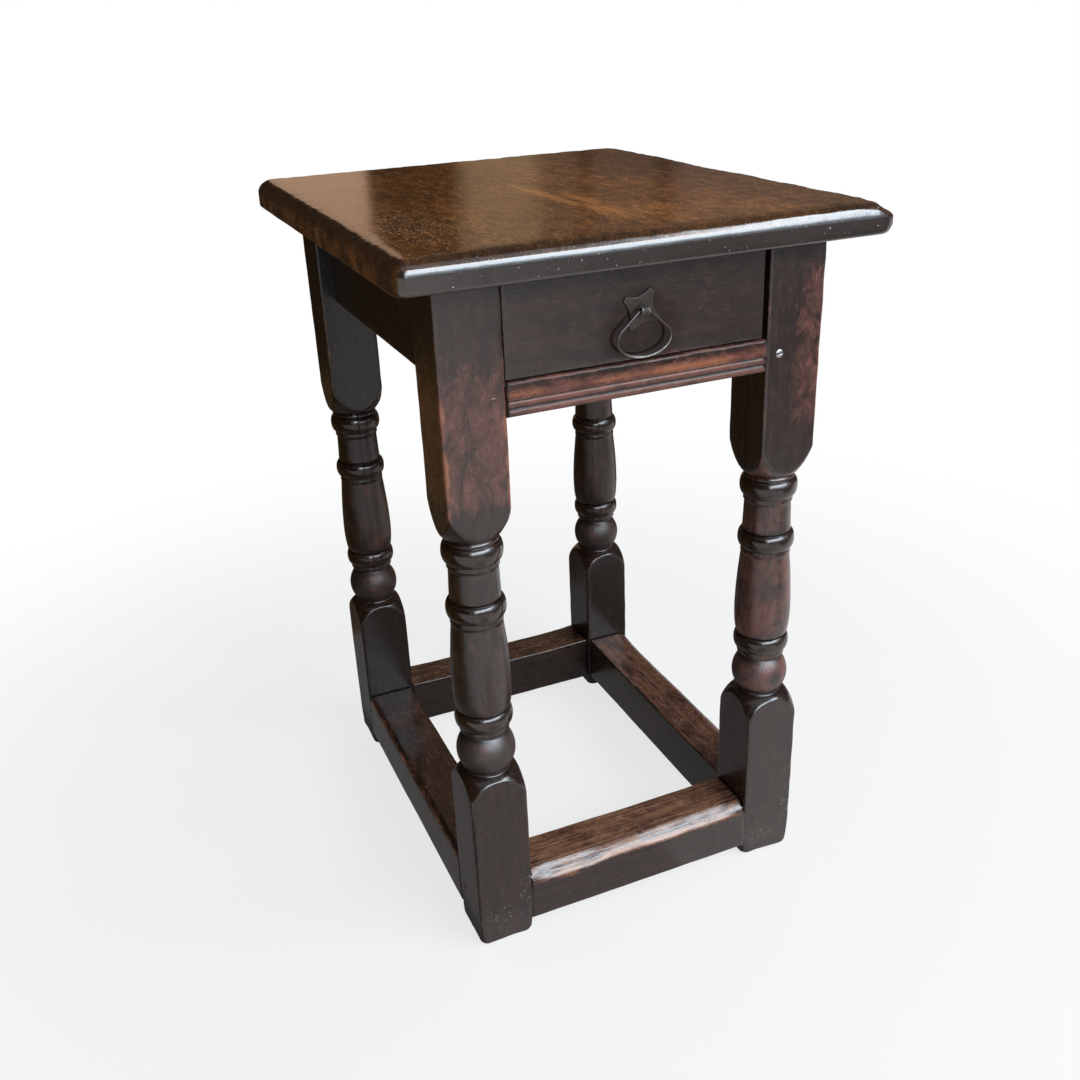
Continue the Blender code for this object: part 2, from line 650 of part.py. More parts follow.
def make_back_rail(finish):
    """The deep back rail, with sockets for the runners' back tongues."""
    reach = INNER_X - SEAT_GAP
    form = box((-reach, OUTER_Y - RAIL_RECESS, RAIL_UNDER), (reach, RAIL_INNER_Y, LEG_TOP))
    soften(form, RAIL_ARRIS, 1, lambda edge: along(0)(edge) and on_plane(2, RAIL_UNDER)(edge))
    rail = place("rail_back", form, finish, (0.0, RAIL_INNER_Y, RAIL_UNDER))
    add_tenons(rail, "rail_back", [(side_name, "back") for side_name in SIDES])
    combine(rail, place_tool("rail_back_sockets", runner_sockets(RAIL_INNER_Y, 1)), "DIFFERENCE")


def drawer_rail_section():
    """The drawer rail's section from its lower back corner round: two quirked beads and a worn flat band."""
    face, height = -OUTER_Y, DRAWER_RAIL_UNDER
    section = [(face + DRAWER_RAIL_DEPTH, height)]
    for _ in range(BEADS):
        for step in range(BEAD_STEPS + 1):
            turn = math.pi * step / BEAD_STEPS
            section.append((face + BEAD_SINK * (1 - math.sin(turn)),
                            height + BEAD_HEIGHT * (1 - math.cos(turn)) / 2))
        height += BEAD_HEIGHT + BEAD_QUIRK
        section.append((face + BEAD_SINK, height - BEAD_QUIRK / 2))
    section.append((face, height))
    for step in range(DRAWER_RAIL_WEAR_STEPS + 1):
        turn = math.pi / 2 * step / DRAWER_RAIL_WEAR_STEPS
        section.append((face + DRAWER_RAIL_WEAR * (1 - math.cos(turn)),
                        DRAWER_RAIL_OVER - DRAWER_RAIL_WEAR * (1 - math.sin(turn))))
    section.append((face + DRAWER_RAIL_DEPTH, DRAWER_RAIL_OVER))
    return section


def make_drawer_rail(finish):
    """The moulded rail under the drawer, with sockets for the runners' front tongues."""
    reach = INNER_X - SEAT_GAP
    form = extrude_outline([(-reach, y, z) for y, z in drawer_rail_section()], (reach + reach, 0.0, 0.0))
    rail = place("drawer_rail", form, finish, (0.0, -OUTER_Y, DRAWER_RAIL_UNDER))
    add_tenons(rail, "drawer_rail", [(side_name, "front") for side_name in SIDES])
    sockets = runner_sockets(DRAWER_RAIL_DEPTH - OUTER_Y, -1)
    combine(rail, place_tool("drawer_rail_sockets", sockets), "DIFFERENCE")


def tongue_corners(side, seat, towards, root, reach, gap):
    """Opposite corners of a runner's end tongue, or of its socket, about the face that it enters."""
    outer, inner = INNER_X - SEAT_GAP, INNER_X - SEAT_GAP - RUNNER_WIDTH
    middle, half = RUNNER_OVER - RUNNER_HEIGHT / 2, RUNNER_TONGUE_HEIGHT / 2 + gap
    shoulder = RUNNER_TONGUE_SHOULDER - gap
    return ((side * (outer - shoulder), seat - towards * root, middle - half),
            (side * (inner + shoulder), seat + towards * reach, middle + half))


def runner_sockets(seat, towards):
    """The sockets of both runners in a rail whose inner face is the seat."""
    depth = RUNNER_TONGUE_LENGTH + SEAT_GAP
    form = bmesh.new()
    for side in SIDES.values():
        add_box(form, *tongue_corners(side, seat, towards, CUT_PAST, depth, SEAT_GAP))
    return form


def make_runners(finish):
    """Drawer runners tongued into the drawer rail and the back rail."""
    front, back = DRAWER_RAIL_DEPTH - OUTER_Y, RAIL_INNER_Y
    for side_name, side in SIDES.items():
        outer = side * (INNER_X - SEAT_GAP)
        low = (outer, front + SEAT_GAP, RUNNER_OVER - RUNNER_HEIGHT)
        high = (outer - side * RUNNER_WIDTH, back - SEAT_GAP, RUNNER_OVER)
        runner = place("runner_" + side_name, box(low, high), finish, low)
        for end_name, seat, towards in (("front", front, -1), ("back", back, 1)):
            tongue = box(*tongue_corners(side, seat, towards, ROOT_DEPTH, RUNNER_TONGUE_LENGTH, 0.0))
            combine(runner, place_tool("runner_{}_{}_tongue".format(side_name, end_name), tongue), "UNION")


def make_guides(finish):
    """Strips on the side rails that keep the drawer straight between the legs."""
    reach = INNER_Y - SEAT_GAP
    for side_name, side in SIDES.items():
        low = (side * INNER_X, -reach, RAIL_UNDER)
        form = box(low, (side * (RAIL_INNER_X - SEAT_GAP), reach, RAIL_UNDER + GUIDE_HEIGHT))
        place("guide_" + side_name, form, finish, low)


def make_stops(finish):
    """Two blocks on the back rail that the closed drawer meets."""
    under = RUNNER_OVER + STOP_RISE
    for side_name, side in SIDES.items():
        middle = side * (INNER_X - STOP_INSET)
        low = (middle - STOP_WIDTH / 2, DRAWER_END + SEAT_GAP, under)
        high = (middle + STOP_WIDTH / 2, RAIL_INNER_Y - SEAT_GAP, under + STOP_HEIGHT)
        place("drawer_stop_" + side_name, box(low, high), finish, low)


def make_glue_block(name, length_axis, middle, back, towards, finish):
    """One block in the corner of the top and a rail, with its free arris planed off."""
    face_axis = 1 - length_axis
    low, high = [0.0, 0.0, LEG_TOP - BLOCK_SQUARE], [0.0, 0.0, LEG_TOP]
    low[length_axis], high[length_axis] = middle - BLOCK_LENGTH / 2, middle + BLOCK_LENGTH / 2
    low[face_axis], high[face_axis] = back, back + towards * BLOCK_SQUARE
    form = box(low, high)
    runs, below = along(length_axis), on_plane(2, low[2])
    free = on_plane(face_axis, high[face_axis])
    soften(form, BLOCK_CHAMFER, 1, lambda edge: runs(edge) and below(edge) and free(edge))
    place(name, form, finish, low)


def make_glue_blocks(finish):
    """Two blocks on each side rail and two on the back rail."""
    for side_name, side in SIDES.items():
        for end_name, end in ENDS.items():
            name = "glue_block_{}_{}".format(side_name, end_name)
            make_glue_block(name, 1, end * (INNER_Y - SIDE_BLOCK_INSET),
                            side * (RAIL_INNER_X - SEAT_GAP), -side, finish)
        make_glue_block("glue_block_back_" + side_name, 0, side * (INNER_X - BACK_BLOCK_INSET),
                        RAIL_INNER_Y - SEAT_GAP, -1, finish)


def make_top(finish):
    """The overhanging top: one board with soft corners, a round upper edge and a worn lower arris."""
    x, y = TOP_WIDTH / 2, TOP_DEPTH / 2
    form = box((-x, -y, TOP_UNDER), (x, y, TABLE_HEIGHT))
    upright = along(2)

    def worn_corner(edge):
        return all(vert.co.x > 0.0 and vert.co.y > 0.0 for vert in edge.verts)

    soften(form, TOP_WORN_CORNER_RADIUS, 6, lambda edge: upright(edge) and worn_corner(edge))
    soften(form, TOP_CORNER_RADIUS, 5, lambda edge: upright(edge) and not worn_corner(edge))
    soften(form, TOP_EDGE_ROUND, 4, on_plane(2, TABLE_HEIGHT))
    soften(form, TOP_LOWER_ARRIS, 3, on_plane(2, TOP_UNDER))
    place("top_board", form, finish, (0.0, 0.0, TOP_UNDER))


def make_drawer_front(finish, slide):
    """The drawer front, rebated at its ends for the sides and below for the bottom board."""
    form = box((DRAWER_LEFT, DRAWER_FACE, DRAWER_UNDER), (DRAWER_RIGHT, DRAWER_INSIDE, DRAWER_OVER))
    soften(form, DRAWER_FRONT_ARRIS, 1, on_plane(1, DRAWER_FACE))
    front = place("drawer_front", form, finish, (HANDLE_X, DRAWER_FACE, DRAWER_UNDER), slide)
    below, behind = DRAWER_UNDER - CUT_PAST, DRAWER_INSIDE + CUT_PAST
    depth = DRAWER_SIDE_THICKNESS + SEAT_GAP
    ends = bmesh.new()
    add_box(ends, (DRAWER_LEFT - CUT_PAST, DRAWER_LAP_FACE, below),
            (DRAWER_LEFT + depth, behind, DRAWER_SIDE_OVER + SEAT_GAP))
    add_box(ends, (DRAWER_RIGHT + CUT_PAST, DRAWER_LAP_FACE, below),
            (DRAWER_RIGHT - depth, behind, DRAWER_SIDE_OVER + SEAT_GAP))
    combine(front, place_tool("drawer_front_end_rebates", ends), "DIFFERENCE")
    lower = box((DRAWER_LEFT - CUT_PAST, DRAWER_INSIDE - DRAWER_BOTTOM_LAP, below),
                (DRAWER_RIGHT + CUT_PAST, behind, DRAWER_SIDE_UNDER))
    combine(front, place_tool("drawer_front_lower_rebate", lower), "DIFFERENCE")
    slot = eye_slot(PLATE_FACE - CUT_PAST, behind)
    combine(front, place_tool("drawer_front_slot", slot), "DIFFERENCE")
    bore_for_nails(front, ["front"])


def make_drawer_sides(finish, slide):
    """Two sides that lap into the front and are nailed to it and to the back."""
    for side_name, outer in (("left", DRAWER_LEFT), ("right", DRAWER_RIGHT)):
        inner = outer - SIDES[side_name] * DRAWER_SIDE_THICKNESS
        form = box((outer, DRAWER_LAP_FACE + SEAT_GAP, DRAWER_SIDE_UNDER),
                   (inner, DRAWER_END, DRAWER_SIDE_OVER))
        origin = (outer, DRAWER_END, DRAWER_SIDE_UNDER)
        side = place("drawer_side_" + side_name, form, finish, origin, slide)
        bore_for_nails(side, ENDS, [side_name])


def make_drawer_back(finish, slide):
    """The back, between the sides."""
    inset = DRAWER_SIDE_THICKNESS + SEAT_GAP
    form = box((DRAWER_LEFT + inset, DRAWER_END - DRAWER_BACK_THICKNESS, DRAWER_SIDE_UNDER),
               (DRAWER_RIGHT - inset, DRAWER_END, DRAWER_SIDE_OVER))
    back = place("drawer_back", form, finish, (HANDLE_X, DRAWER_END, DRAWER_SIDE_UNDER), slide)
    bore_for_nails(back, ["back"])


def make_drawer_bottom(finish, slide):
    """The bottom board, under the sides and the back and lapped into the front."""
    front = DRAWER_INSIDE - DRAWER_BOTTOM_LAP + SEAT_GAP
    form = box((DRAWER_LEFT + DRAWER_BOTTOM_INSET, front, DRAWER_UNDER),
               (DRAWER_RIGHT - DRAWER_BOTTOM_INSET, DRAWER_END, DRAWER_BOTTOM_OVER))
    place("drawer_bottom", form, finish, (HANDLE_X, DRAWER_END, DRAWER_UNDER), slide)


def nail_head_point(side_name, end_name, level):
    """The middle of a nail's place, on the outer face of a drawer side."""
    outer = DRAWER_LEFT if side_name == "left" else DRAWER_RIGHT
    y = DRAWER_INSIDE - DRAWER_SIDE_LAP / 2 if end_name == "front" else DRAWER_END - DRAWER_BACK_THICKNESS / 2
    middle = (DRAWER_SIDE_UNDER + DRAWER_SIDE_OVER) / 2
    return Vector((outer, y, middle + NAIL_LEVELS[level] * NAIL_SPREAD / 2))


def square_taper(point, inwards, stations):
    """A square-sectioned solid driven in along X, from stations of depth and width."""
    form = bmesh.new()
    rings = []
    for depth, width in stations:
        corners = [(a * width / 2, b * width / 2) for a, b in ((-1, -1), (1, -1), (1, 1), (-1, 1))]
        rings.append([form.verts.new(point + Vector((inwards * depth, a, b))) for a, b in corners])
    for ring, following in zip(rings, rings[1:]):
        for a, b, c, d in zip(ring, ring[1:] + ring[:1], following[1:] + following[:1], following):
            form.faces.new((a, b, c, d))
    form.faces.new(rings[0])
    form.faces.new(rings[-1])
    bmesh.ops.recalc_face_normals(form, faces=form.faces[:])
    return form


def nail_form(side_name, end_name, level):
    """A tapered square nail driven through a drawer side."""
    under_head = NAIL_SUNK + NAIL_HEAD_THICKNESS
    stations = [(NAIL_SUNK, NAIL_HEAD), (under_head, NAIL_HEAD), (under_head, NAIL_SHANK),
                (NAIL_LENGTH, NAIL_TIP)]
    return square_taper(nail_head_point(side_name, end_name, level), -SIDES[side_name], stations)


def nail_hole(side_name, end_name, level):
    """The hole that a nail sits in."""
    wider, under_head = 2 * SEAT_GAP, NAIL_SUNK + NAIL_HEAD_THICKNESS + SEAT_GAP
    stations = [(-CUT_PAST, NAIL_HEAD + wider), (under_head, NAIL_HEAD + wider),
                (under_head, NAIL_SHANK + wider), (NAIL_LENGTH + MORTISE_SPARE, NAIL_TIP + wider)]
    return square_taper(nail_head_point(side_name, end_name, level), -SIDES[side_name], stations)


def bore_for_nails(piece, end_names, side_names=tuple(SIDES)):
    """Cuts the nail holes of some of the drawer's corners."""
    for side_name in side_names:
        for end_name in end_names:
            for level in NAIL_LEVELS:
                label = "{}_{}_{}_{}_hole".format(piece.name, side_name, end_name, level)
                combine(piece, place_tool(label, nail_hole(side_name, end_name, level)), "DIFFERENCE")


def make_nails(finish, slide):
    """Two nails at each end of each drawer side."""
    for side_name in SIDES:
        for end_name in ENDS:
            for level in NAIL_LEVELS:
                name = "nail_{}_{}_{}".format(side_name, end_name, level)
                origin = nail_head_point(side_name, end_name, level)
                place(name, nail_form(side_name, end_name, level), finish, origin, slide)


def screw_profile():
    """The screw's outline from the middle of its domed head to its point, with the head's rim at nought."""
    head, shank = SCREW_HEAD_DIAMETER / 2, SCREW_SHANK_DIAMETER / 2
    profile = []
    for step in range(SCREW_DOME_STEPS + 1):
        turn = math.pi / 2 * step / SCREW_DOME_STEPS
        profile.append((head * math.sin(turn), SCREW_HEAD_DOME * math.cos(turn)))
    return profile + [(shank, -SCREW_HEAD_DEPTH), (shank, SCREW_POINT - SCREW_LENGTH), (0.0, -SCREW_LENGTH)]


def screw_hole_profile():
    """The countersunk hole that the screw sits in."""
    head, shank = SCREW_HEAD_DIAMETER / 2 + SEAT_GAP, SCREW_SHANK_DIAMETER / 2 + SEAT_GAP
    end = SCREW_LENGTH + MORTISE_SPARE
    return [(0.0, CUT_PAST), (head, CUT_PAST), (head, 0.0), (shank, -SCREW_HEAD_DEPTH - SEAT_GAP),
            (shank, SCREW_POINT - end), (0.0, -end)]


def screw_point():
    """The middle of the screw's head, on the front of the right front leg."""
    return Vector((INNER_X + SCREW_INSET, -OUTER_Y, (DRAWER_RAIL_UNDER + DRAWER_RAIL_OVER) / 2))


def screw_turned(profile):
    """A turned form in the screw's place, with its head to the front."""
    form = revolve(profile, SCREW_FACETS)
    form.transform(Matrix.Translation(screw_point()) @ Matrix.Rotation(math.pi / 2, 4, "X"))
    return form


def make_screw(finish):
    """A slotted screw that holds the drawer rail's right tenon."""
    screw = place("rail_screw", screw_turned(screw_profile()), finish, screw_point())
    bottom = Vector((0.0, SCREW_SLOT_DEPTH - SCREW_HEAD_DOME, 0.0))
    half = Vector((SCREW_HEAD_DIAMETER, 0.0, SCREW_SLOT_WIDTH / 2))
    front = Vector((0.0, -SCREW_HEAD_DOME - CUT_PAST, 0.0))
    slot = box(screw_point() + bottom - half, screw_point() + front + half)
    combine(screw, place_tool("rail_screw_slot", slot), "DIFFERENCE")


def eye_slot(front, back):
    """The slot that the folded eye passes through, between two depths."""
    half_x = EYE_WIDTH / 2 + SEAT_GAP
    half_z = EYE_SLIT / 2 + EYE_STRIP + SEAT_GAP
    return box((HANDLE_X - half_x, front, HANDLE_Z - half_z), (HANDLE_X + half_x, back, HANDLE_Z + half_z))


def plate_outline():
    """The handle's back plate: a square turned a little, with hollow sides and blunt points."""
    start = Vector((PLATE_POINT_RADIUS, PLATE_POINT_WIDTH / 2))
    stop = Vector((PLATE_POINT_WIDTH / 2, PLATE_POINT_RADIUS))
    waist = Vector((PLATE_WAIST_RADIUS, PLATE_WAIST_RADIUS)) / math.sqrt(2)
    pull = 2 * waist - (start + stop) / 2
    outline = []
    for point in range(PLATE_POINTS):
        turn = Matrix.Rotation(PLATE_TURN + math.tau * point / PLATE_POINTS, 2)
        for step in range(PLATE_SIDE_STEPS + 1):
            share = step / PLATE_SIDE_STEPS
            hollow = start * (1 - share) ** 2 + pull * 2 * share * (1 - share) + stop * share ** 2
            outline.append(turn @ hollow)
    return outline


def make_plate(finish, slide):
    """The iron back plate, slotted for the eye."""
    outline = [(HANDLE_X + point.x, DRAWER_FACE - SEAT_GAP, HANDLE_Z + point.y) for point in plate_outline()]
    form = extrude_outline(outline, (0.0, -PLATE_THICKNESS, 0.0))
    plate = place("handle_plate", form, finish, (HANDLE_X, DRAWER_FACE, HANDLE_Z), slide)
    slot = eye_slot(PLATE_FACE - CUT_PAST, DRAWER_FACE + CUT_PAST)
    combine(plate, place_tool("handle_plate_slot", slot), "DIFFERENCE")


def eye_path():
    """The middle line of the folded strip: a clenched end, out through the front, round the eye and back."""
    inside = DRAWER_INSIDE + SEAT_GAP + EYE_STRIP / 2
    leg = (EYE_SLIT + EYE_STRIP) / 2
    radius = EYE_BORE_RADIUS + EYE_STRIP / 2
    start = math.asin(leg / radius)
    path = [(inside, EYE_CLENCH), (inside, leg)]
    for step in range(EYE_STEPS + 1):
        turn = start + (math.tau - 2 * start) * step / EYE_STEPS
        path.append((EYE_Y + radius * math.cos(turn), radius * math.sin(turn)))
    return path + [(inside, -leg), (inside, -EYE_CLENCH)]


def make_eye(finish, slide):
    """The folded strip that holds the drop and is clenched inside the drawer."""
    form = bmesh.new()
    left = HANDLE_X - EYE_WIDTH / 2
    edges = chain(form, [(left, y, HANDLE_Z + z) for y, z in eye_path()])[1]
    draw_out(form, bmesh.ops.extrude_edge_only(form, edges=edges)["geom"], (EYE_WIDTH, 0.0, 0.0))
    eye = place("handle_eye", form, finish, (HANDLE_X, EYE_Y, HANDLE_Z), slide)
    wall = eye.modifiers.new("strip", "SOLIDIFY")
    wall.thickness = EYE_STRIP
    wall.offset = 0.0
    wall.use_even_offset = True


def drop_path():
    """The drop's middle line about its bar: straight shoulders that run on into an oval bowl."""
    half, bar = DROP_WIDTH / 2, DROP_BAR / 2
    rise = DROP_LENGTH - DROP_BOWL
    # The shoulder line leaves the bar's end and touches the oval at this turn.
    reach = math.hypot(bar / half, rise / DROP_BOWL)
    touch = math.atan2(rise / DROP_BOWL, bar / half) - math.acos(1 / reach)
    path = [(-bar, 0.0), (0.0, 0.0), (bar, 0.0)]
    for step in range(DROP_STEPS + 1):
        turn = touch - (math.pi + 2 * touch) * step / DROP_STEPS
        path.append((half * math.cos(turn), DROP_BOWL * math.sin(turn) - rise))
    return path


def make_drop(finish, hinge):
    """The drop of round iron that swings in the eye."""
    curve = bpy.data.curves.new("handle_drop", "CURVE")
    curve.dimensions = "3D"
    curve.bevel_depth = DROP_WIRE_DIAMETER / 2
    curve.bevel_resolution = 2
    curve.materials.append(finish)
    path = drop_path()
    spline = curve.splines.new("POLY")
    spline.points.add(len(path) - len(spline.points))
    for point, (x, z) in zip(spline.points, path):
        point.co = (x, 0.0, z, 1.0)
    spline.use_cyclic_u = True
    spline.use_smooth = True
    attach(bpy.data.objects.new("handle_drop", curve), hinge.matrix_world.translation, hinge)


def make_frame(oak, peg_oak, lining_oak, top_oak, steel):
    """Everything that stands still."""
    make_top(top_oak)
    make_legs(oak)
    make_side_rails(oak)
    make_back_rail(oak)
    make_drawer_rail(oak)
    make_stretchers(oak)
    make_pegs(peg_oak)
    make_screw(steel)
    make_runners(lining_oak)
    make_guides(lining_oak)
    make_stops(lining_oak)
    make_glue_blocks(lining_oak)


def make_drawer(front_oak, lining_oak, iron):
    """The drawer with its handle, on the axes that it slides along and the drop swings about."""
    slide = add_axis("drawer_slide", (HANDLE_X, DRAWER_FACE, HANDLE_Z))
    hinge = add_axis("drop_hinge", (HANDLE_X, EYE_Y, DROP_Z), slide)
    make_drawer_front(front_oak, slide)
    make_drawer_sides(lining_oak, slide)
    make_drawer_back(lining_oak, slide)
    make_drawer_bottom(lining_oak, slide)
    make_nails(iron, slide)
    make_plate(iron, slide)
    make_eye(iron, slide)
    make_drop(iron, hinge)


def main():
    """Builds the table."""
    for item in list(bpy.data.objects):
        bpy.data.objects.remove(item)
    oak = make_finish("dark_oak", (0.034, 0.020, 0.013), 0.38)
    top_oak = make_finish("waxed_top_oak", (0.075, 0.040, 0.020), 0.30)
    front_oak = make_finish("drawer_front_oak", (0.030, 0.018, 0.012), 0.40)
    lining_oak = make_finish("dry_lining_oak", (0.120, 0.075, 0.040), 0.75)
    peg_oak = make_finish("peg_oak", (0.040, 0.024, 0.015), 0.50)
    iron = make_finish("black_iron", (0.030, 0.028, 0.027), 0.45, 1.0)
    steel = make_finish("dull_steel", (0.320, 0.310, 0.290), 0.40, 1.0)
    make_frame(oak, peg_oak, lining_oak, top_oak, steel)
    make_drawer(front_oak, lining_oak, iron)
    settle_shading()


main()
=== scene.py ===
"""Joined oak side table: finely shaped pieces and wood, iron and steel finishes over the packed frame."""
import json
import math

import bmesh
import bpy
from bpy.props import FloatProperty, FloatVectorProperty, PointerProperty
from bpy.types import Operator, Panel, PropertyGroup
from mathutils import Matrix, Vector, noise


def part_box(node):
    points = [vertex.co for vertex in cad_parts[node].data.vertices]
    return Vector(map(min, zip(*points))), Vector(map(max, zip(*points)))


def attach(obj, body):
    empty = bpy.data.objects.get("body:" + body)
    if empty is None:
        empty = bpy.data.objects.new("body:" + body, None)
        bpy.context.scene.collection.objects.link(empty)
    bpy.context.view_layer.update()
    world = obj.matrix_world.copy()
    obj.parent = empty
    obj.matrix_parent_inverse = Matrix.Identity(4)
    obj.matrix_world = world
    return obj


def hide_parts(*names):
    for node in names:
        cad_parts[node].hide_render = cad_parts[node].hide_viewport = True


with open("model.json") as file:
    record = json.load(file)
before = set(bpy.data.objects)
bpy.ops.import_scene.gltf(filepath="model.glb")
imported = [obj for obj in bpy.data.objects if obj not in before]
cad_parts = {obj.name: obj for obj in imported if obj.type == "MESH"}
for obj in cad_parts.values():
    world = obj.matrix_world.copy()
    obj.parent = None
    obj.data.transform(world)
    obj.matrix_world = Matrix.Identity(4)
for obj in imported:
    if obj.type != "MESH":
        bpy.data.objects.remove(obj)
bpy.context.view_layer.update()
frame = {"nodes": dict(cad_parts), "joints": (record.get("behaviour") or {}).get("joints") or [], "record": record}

bl_info = {
    "name": "Side table",
    "version": (1, 0, 0),
    "blender": (4, 5, 0),
    "location": "View3D > Sidebar > Side table",
    "description": "Makes a joined oak side table with turned legs, one drawer and an iron drop handle",
    "category": "Object",
}

X, Y, Z = 0, 1, 2
GRAIN = ("across", "front to back", "upright")       # the grain's direction along each axis
TOP_LOW, TOP_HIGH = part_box("top_board")
LEG_LOW, LEG_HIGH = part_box("leg_front_left")
LEG_INNER = Vector((-LEG_HIGH.x, -LEG_HIGH.y, 0.0))  # from the middle to the inner faces of the legs
RAIL_LOW, RAIL_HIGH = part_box("drawer_rail")
FRONT_LOW, FRONT_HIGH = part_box("drawer_front")
PLATE_LOW, PLATE_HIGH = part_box("handle_plate")
SHOULDER_LAP = 0.0006        # how far the ends of rails and stretchers run into the legs


# Sizes and colours that a user may change

def length(label, meaning, default):
    """A size in metres."""
    return FloatProperty(name=label, description=meaning, default=default, precision=5, unit="LENGTH")


def share(label, meaning, default):
    """A number from none to all."""
    return FloatProperty(name=label, description=meaning, default=default, min=0.0, max=1.0, subtype="FACTOR")


def level(label, meaning, default):
    """A strength of light."""
    return FloatProperty(name=label, description=meaning, default=default, min=0.0)


def tint(label, meaning, default):
    """A linear colour."""
    return FloatVectorProperty(name=label, description=meaning, default=default, size=3, min=0.0, max=1.0,
                               subtype="COLOR")


class TopSizes(PropertyGroup):
    """Sizes of the top board."""
    corner_radius: length("Corner radius", "Round of the corners in plan", 0.020)
    worn_corner: length("Worn corner radius", "Round of the back right corner, which is worn most", 0.030)
    crisp_corner: length("Crisp corner radius", "Round of the front corners, which are worn least", 0.012)
    edge_round: length("Edge round", "Round of the upper edge", 0.011)
    lower_arris: length("Lower arris", "Softness of the lower edge", 0.0030)
    ripple: length("Ripple", "Unevenness of the planed face", 0.00010)
    edge_wear: length("Edge wear", "How far the edges waver", 0.0007)


class LegSizes(PropertyGroup):
    """Sizes of the turned legs."""
    square: length("Square", "Side of the square stock", LEG_HIGH.x - LEG_LOW.x)
    arris: length("Arris", "Round of the long edges of the blocks", 0.0017)
    foot_wear: length("Foot wear", "Round of the edges on the floor", 0.0060)
    pommel_over: length("Pommel top", "Height where the upper block begins to narrow", 0.4176)
    pommel_rise: length("Pommel height", "Height of the rounded end of the upper block", 0.030)
    pommel_root: length("Pommel foot", "Radius at the foot of the pommel", 0.0205)
    quirk_radius: length("Quirk radius", "Radius of the small step under the pommel", 0.0212)
    ring_radius: length("Ring radius", "Radius at the crest of a ring", 0.0242)
    ring_root: length("Ring root", "Radius at the foot of a ring", 0.0205)
    belly_radius: length("Belly radius", "Radius of the baluster at its fullest", 0.0244)
    ball_radius: length("Ball radius", "Radius of the ball", 0.0247)


class FrameSizes(PropertyGroup):
    """Sizes of the rails and stretchers."""
    stretcher_wear: length("Stretcher wear", "Round that feet have worn on the outer upper edge", 0.012)
    arris: length("Arris", "Softness of the other long edges", 0.0018)
    bead_height: length("Bead height", "Height of each bead of the drawer rail", 0.0052)
    bead_sink: length("Bead sink", "Depth of the bead's hollows", 0.0012)
    bead_quirk: length("Bead quirk", "Height of the groove over each bead", 0.0010)
    rail_wear: length("Rail wear", "Round of the drawer rail's upper front edge", 0.0022)
    ripple: length("Ripple", "Unevenness of the planed faces", 0.00022)


class HandleSizes(PropertyGroup):
    """Sizes of the iron drop handle."""
    point_radius: length("Point radius", "Middle of the plate to its points", 0.0162)
    waist_radius: length("Waist radius", "Middle of the plate to its hollow sides", 0.0098)
    point_width: length("Point width", "Width of the blunt points", 0.0042)
    eye_width: length("Eye width", "Width of the folded strip", 0.0062)
    eye_strip: length("Eye strip", "Thickness of the folded strip", 0.0013)
    eye_bore: length("Eye bore", "Radius inside the eye", 0.0022)
    wire: length("Wire", "Thickness of the drop", 0.0026)
    drop_width: length("Drop width", "Width of the drop between wire middles", 0.0438)
    drop_length: length("Drop length", "Bar to the lowest point of the drop", 0.0335)
    bowl: length("Bowl", "Widest place of the drop down to its lowest", 0.0134)
    bar: length("Bar", "Length of the bar in the eye", 0.0088)


class WoodColours(PropertyGroup):
    """Colours of the woods."""
    # The wax colour also serves as painted shade where the frame stands in shadow.
    wax: tint("Dark wax", "Old wax in the grain and hollows", (0.0075, 0.0048, 0.0036))
    frame_dark: tint("Frame oak", "Stained oak of the frame", (0.014, 0.0070, 0.0050))
    frame_brown: tint("Brown oak", "Where the stain is thinner", (0.028, 0.0132, 0.0080))
    frame_worn: tint("Worn oak", "Where hands and feet have rubbed the stain away", (0.140, 0.048, 0.035))
    top_dark: tint("Top, dark", "Darker figure of the top", (0.118, 0.046, 0.0145))
    top_brown: tint("Top, brown", "Main colour of the top", (0.262, 0.104, 0.031))
    top_honey: tint("Top, honey", "Honey-coloured streaks of the top", (0.64, 0.25, 0.068))
    lining: tint("Lining oak", "Dry oak inside", (0.150, 0.090, 0.046))
    lining_dark: tint("Lining oak, dark", "Darker grain of the dry oak", (0.078, 0.043, 0.021))
    frame_trodden: tint("Trodden oak", "Where feet have worn the stretchers", (0.37, 0.205, 0.112))
    frame_rim: tint("Rubbed arris", "Bare oak along the sharpest edges", (0.27, 0.098, 0.048))
    top_red: tint("Top, red-brown", "Lighter red-brown figure of the top", (0.50, 0.195, 0.056))
    # The edge colour also serves as painted shade along the edges of the top.
    top_edge: tint("Top, edge", "Dull dark wax round the edge of the top", (0.016, 0.0115, 0.0095))
    top_dust: tint("Top, dust", "Pale dry spots on the top", (0.56, 0.43, 0.29))
    speck: tint("Specks", "Pale specks of dust and old paint", (0.55, 0.50, 0.44))


class MetalColours(PropertyGroup):
    """Colours of the metals."""
    # The soot colour also serves as painted shade on the plate's narrow sides and in the middle of the eye.
    soot_and_shade: tint("Soot", "Black dirt on the narrow sides of the plate", (0.004, 0.0032, 0.0028))
    iron: tint("Iron", "Blackened iron", (0.040, 0.030, 0.025))
    iron_rust: tint("Brown iron", "Brown bloom on the iron", (0.050, 0.032, 0.022))
    # The rubbed iron colour also serves as a painted highlight along the front of the drop.
    iron_rubbed_and_highlight: tint("Rubbed iron", "Edges that handling keeps bright", (0.58, 0.56, 0.54))
    steel: tint("Steel", "Dull steel of the screw", (0.30, 0.29, 0.28))
    steel_stain: tint("Stained steel", "Dirt on the screw", (0.014, 0.012, 0.011))


